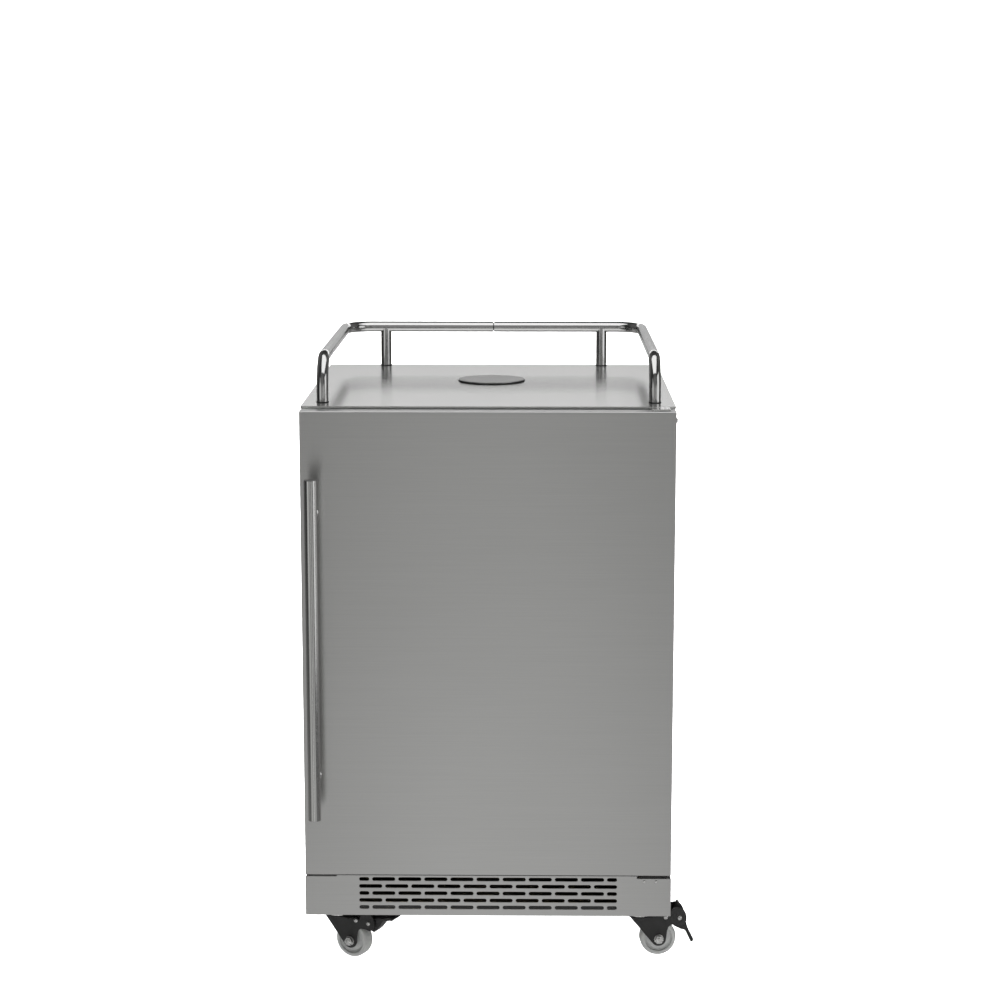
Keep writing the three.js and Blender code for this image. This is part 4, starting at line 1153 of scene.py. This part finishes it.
def liner():
    """A plastic tub with rounded corners, stepped over the compressor.

    The step stands a little proud, so that its rounded edge stays in front of the foam's sharp one.
    """
    low, high = span("inner_liner")
    wall = 2 * MM
    floor, ceiling, back = low.z + wall, high.z - wall, high.y - wall
    step_y, step_z = DOOR_FACE + STEP_DEPTH - STEP_PROUD, STEP_HEIGHT + STEP_PROUD
    outline = [(low.y, floor), (step_y, floor), (step_y, step_z), (back, step_z)]
    outline += [(back, ceiling), (low.y, ceiling)]
    bm = bmesh.new()
    left = [bm.verts.new((low.x + wall, y, z)) for y, z in outline]
    right = [bm.verts.new((high.x - wall, y, z)) for y, z in outline]
    bm.faces.new(left)
    bm.faces.new(right[::-1])
    for i in range(len(outline) - 1):
        bm.faces.new((left[i], right[i], right[i + 1], left[i + 1]))
    folds = [e for e in bm.edges if len(e.link_faces) == 2]
    round_edges(bm, folds, 16 * MM, 6, clamp=False)
    bmesh.ops.recalc_face_normals(bm, faces=bm.faces)
    bmesh.ops.solidify(bm, geom=bm.faces, thickness=-wall)
    tub = as_object("liner_tub", bm, "liner_plastic")
    below, above = ceiling - 20 * MM, ceiling + 20 * MM
    shaft = [(0, below), (TOWER_BORE, below), (TOWER_BORE, above), (0, above)]
    hole = lathe(shaft, plumb(centre("tower_hole_cap")), 64)
    bmesh.ops.recalc_face_normals(hole, faces=hole.faces)
    cut_away(tub, hole)
    settle(tub, "cabinet", "liner_plastic", "inner_liner")


def compartment_fittings():
    soften("keg_floor_plate", "keg_plate", "brushed_stainless", 0.6 * MM)
    soften("control_box", "control_housing", "black_plastic", 2 * MM, segments=4)
    soften("lamp_lens", "lamp_cover", "lamp_plastic", 3 * MM, segments=4)
    soften("thermostat_dial", "thermostat_knob", "lamp_plastic", 0.5 * MM, "dial")
    evaporator()


def evaporator():
    """A plate with a raised channel that runs to and fro across it."""
    soften("evaporator_plate", "cold_plate", "aluminium_plate", 0.5 * MM)
    low, high = span("evaporator_plate")
    turns = 7
    inset = 22 * MM
    pitch = (high.z - low.z - 2 * inset) / turns
    corners = []
    for i in range(turns + 1):
        ends = [low.x + inset, high.x - inset]
        if i % 2:
            ends.reverse()
        corners += [Vector((x, low.y, low.z + inset + i * pitch)) for x in ends]
    bm = bmesh.new()
    add_sweep(bm, bent_path(corners, 12 * MM, 6), circle(3 * MM, 16), up=Vector((0, 1, 0)))
    add_piece("evaporator_channel", bm, "aluminium_plate", "cabinet")


# ---------- Fans and compressor compartment ----------


def fan(node, body, axis):
    """Frame with rounded edges and a wheel with curved blades."""
    soften(node + "_frame", node + "_housing", "black_plastic", 1 * MM)
    low, high = span(node + "_blade")
    place = facing((low + high) / 2, axis)
    along_axis = axis.index(1)
    across = (along_axis + 1) % 3
    tip_gap, face_gap = 0.98, 0.92
    radius = (high[across] - low[across]) / 2 * tip_gap
    depth = (high[along_axis] - low[along_axis]) * face_gap
    hub = radius * 0.35
    root = hub * 0.95
    camber = 0.12
    half, edge = depth / 2, 1.5 * MM
    bm = lathe([(0, -half), (hub - edge, -half), (hub, edge - half), (hub, half), (0, half)], place)
    blades, rows, columns = 7, 8, 4
    for i in range(blades):
        verts = []
        for j in range(rows + 1):
            share = j / rows
            width, sweep, pitch = 0.85 - 0.2 * share, 0.25 * share, 0.9 - 0.3 * share
            r = root + (radius - root) * share
            row = []
            for k in range(columns + 1):
                chord = k / columns - 0.5
                turn = 2 * pi * i / blades + chord * width + sweep
                lift = chord * depth * pitch + camber * depth * (chord * chord - 0.25)
                row.append(bm.verts.new(place @ Vector((r * cos(turn), r * sin(turn), lift))))
            verts.append(row)
        faces = []
        for first, second in zip(verts, verts[1:]):
            for k in range(columns):
                faces.append(bm.faces.new((first[k], second[k], second[k + 1], first[k + 1])))
        bmesh.ops.solidify(bm, geom=faces, thickness=1.4 * MM)
    add_piece(node + "_wheel", bm, "black_plastic", body, node + "_blade")


def compressor():
    """An oval welded can on rubber feet, with a copper pipe."""
    low, high = span("compressor")
    middle = centre("compressor")
    slack = 0.97
    half_x, half_y = 82 * MM, 82 * 0.62 * MM
    base = low.z + 22 * MM
    shoulder = high.z - 52 * MM
    steps = 10
    turns = [pi / 2 * i / steps for i in range(steps + 1)]
    profile = [(sin(turn), base + 30 * MM * (1 - cos(turn))) for turn in turns]
    seam = [(1.0, 70), (1.025, 71), (1.025, 74), (1.0, 75)]
    profile += [(share, base + up * MM) for share, up in seam]
    profile += [(cos(turn), shoulder + 50 * MM * sin(turn)) for turn in turns]
    oval = Matrix.Diagonal((half_x * slack, half_y * slack, 1, 1))
    bm = lathe(profile, plumb(middle) @ oval, 72)
    foot_z = low.z + 15 * MM
    add_box(bm, (low.x, low.y, foot_z), (high.x, high.y, foot_z + 4 * MM), 1.2 * MM)
    add_piece("compressor_can", bm, "compressor_black", "cabinet", "compressor")
    foot = [(r, low.z + up) for r, up in millimetres([(0, 0), (8, 0), (9, 4), (7, 9), (8.5, 15), (0, 15)])]
    bm = bmesh.new()
    for x in (low.x + 14 * MM, high.x - 14 * MM):
        for y in (low.y + 12 * MM, high.y - 12 * MM):
            add_lathe(bm, foot, Matrix.Translation((x, y, 0)), 32)
    add_piece("compressor_feet", bm, "black_rubber", "cabinet")
    start = Vector((middle.x - half_x * 0.6, middle.y, high.z - 24 * MM))
    rise, run = Vector((0, 0, 22 * MM)), Vector((-70 * MM, 0, 0))
    path = bent_path([start, start + rise, start + rise + run], 10 * MM, 8)
    bm = bmesh.new()
    add_sweep(bm, path, circle(3.2 * MM, 16), up=Vector((0, 1, 0)))
    add_piece("discharge_pipe", bm, "copper_pipe", "cabinet", slot="aluminium_plate")


def condenser():
    """Tubes through a stack of thin fins, between an upper and a lower rail."""
    low, high = span("condenser")
    bm = bmesh.new()
    fins, half_fin, rail = 26, 0.35 * MM, 4 * MM
    bottom, top = low.z + 3 * MM, high.z - 3 * MM
    for i in range(fins):
        x = low.x + rail + (high.x - low.x - 2 * rail) * i / (fins - 1)
        add_box(bm, (x - half_fin, low.y, bottom), (x + half_fin, high.y, top))
    for z in (low.z, high.z - rail):
        add_box(bm, (low.x, low.y, z), (high.x, high.y, z + rail), 0.6 * MM)
    rows = 5
    for row in range(rows):
        z = low.z + 16 * MM + row * (high.z - low.z - 32 * MM) / (rows - 1)
        for y in (low.y + 22 * MM, high.y - 22 * MM):
            tube = [Vector((x, y, z)) for x in (low.x + 1 * MM, high.x - 1 * MM)]
            add_sweep(bm, tube, circle(4 * MM, 16))
    add_piece("condenser_core", bm, "black_steel", "cabinet", "condenser")


def plain_nodes():
    """CAD nodes whose shape is right as it is; most of them are inside."""
    finishes = dict.fromkeys(("cabinet_foam", "door_foam"), "foam")
    bushes = ("rail_joint_sleeve", "hinge_bush_lower", "hinge_bush_upper")
    finishes |= dict.fromkeys(bushes, "black_plastic")
    for node, material in finishes.items():
        carried = frame["nodes"][node]
        carried.data.materials.clear()
        carried.data.materials.append(MATERIALS[material])


# ---------- Build ----------

bpy.context.scene.view_settings.view_transform = "Standard"
add_camera()
add_world()
add_materials()
add_lights(add_cyclorama())
cabinet_steel()
kick_grille()
tower_cover()
guard_rail()
door()
hinges()
casters()
liner()
compartment_fittings()
fan("evaporator_fan", "evaporator_fan", (0, 1, 0))
fan("condenser_fan", "condenser_fan", (1, 0, 0))
compressor()
condenser()
soften("cord_gland", "cord_bush", "black_plastic", 0.6 * MM)
plain_nodes()

bpy.context.view_layer.update()
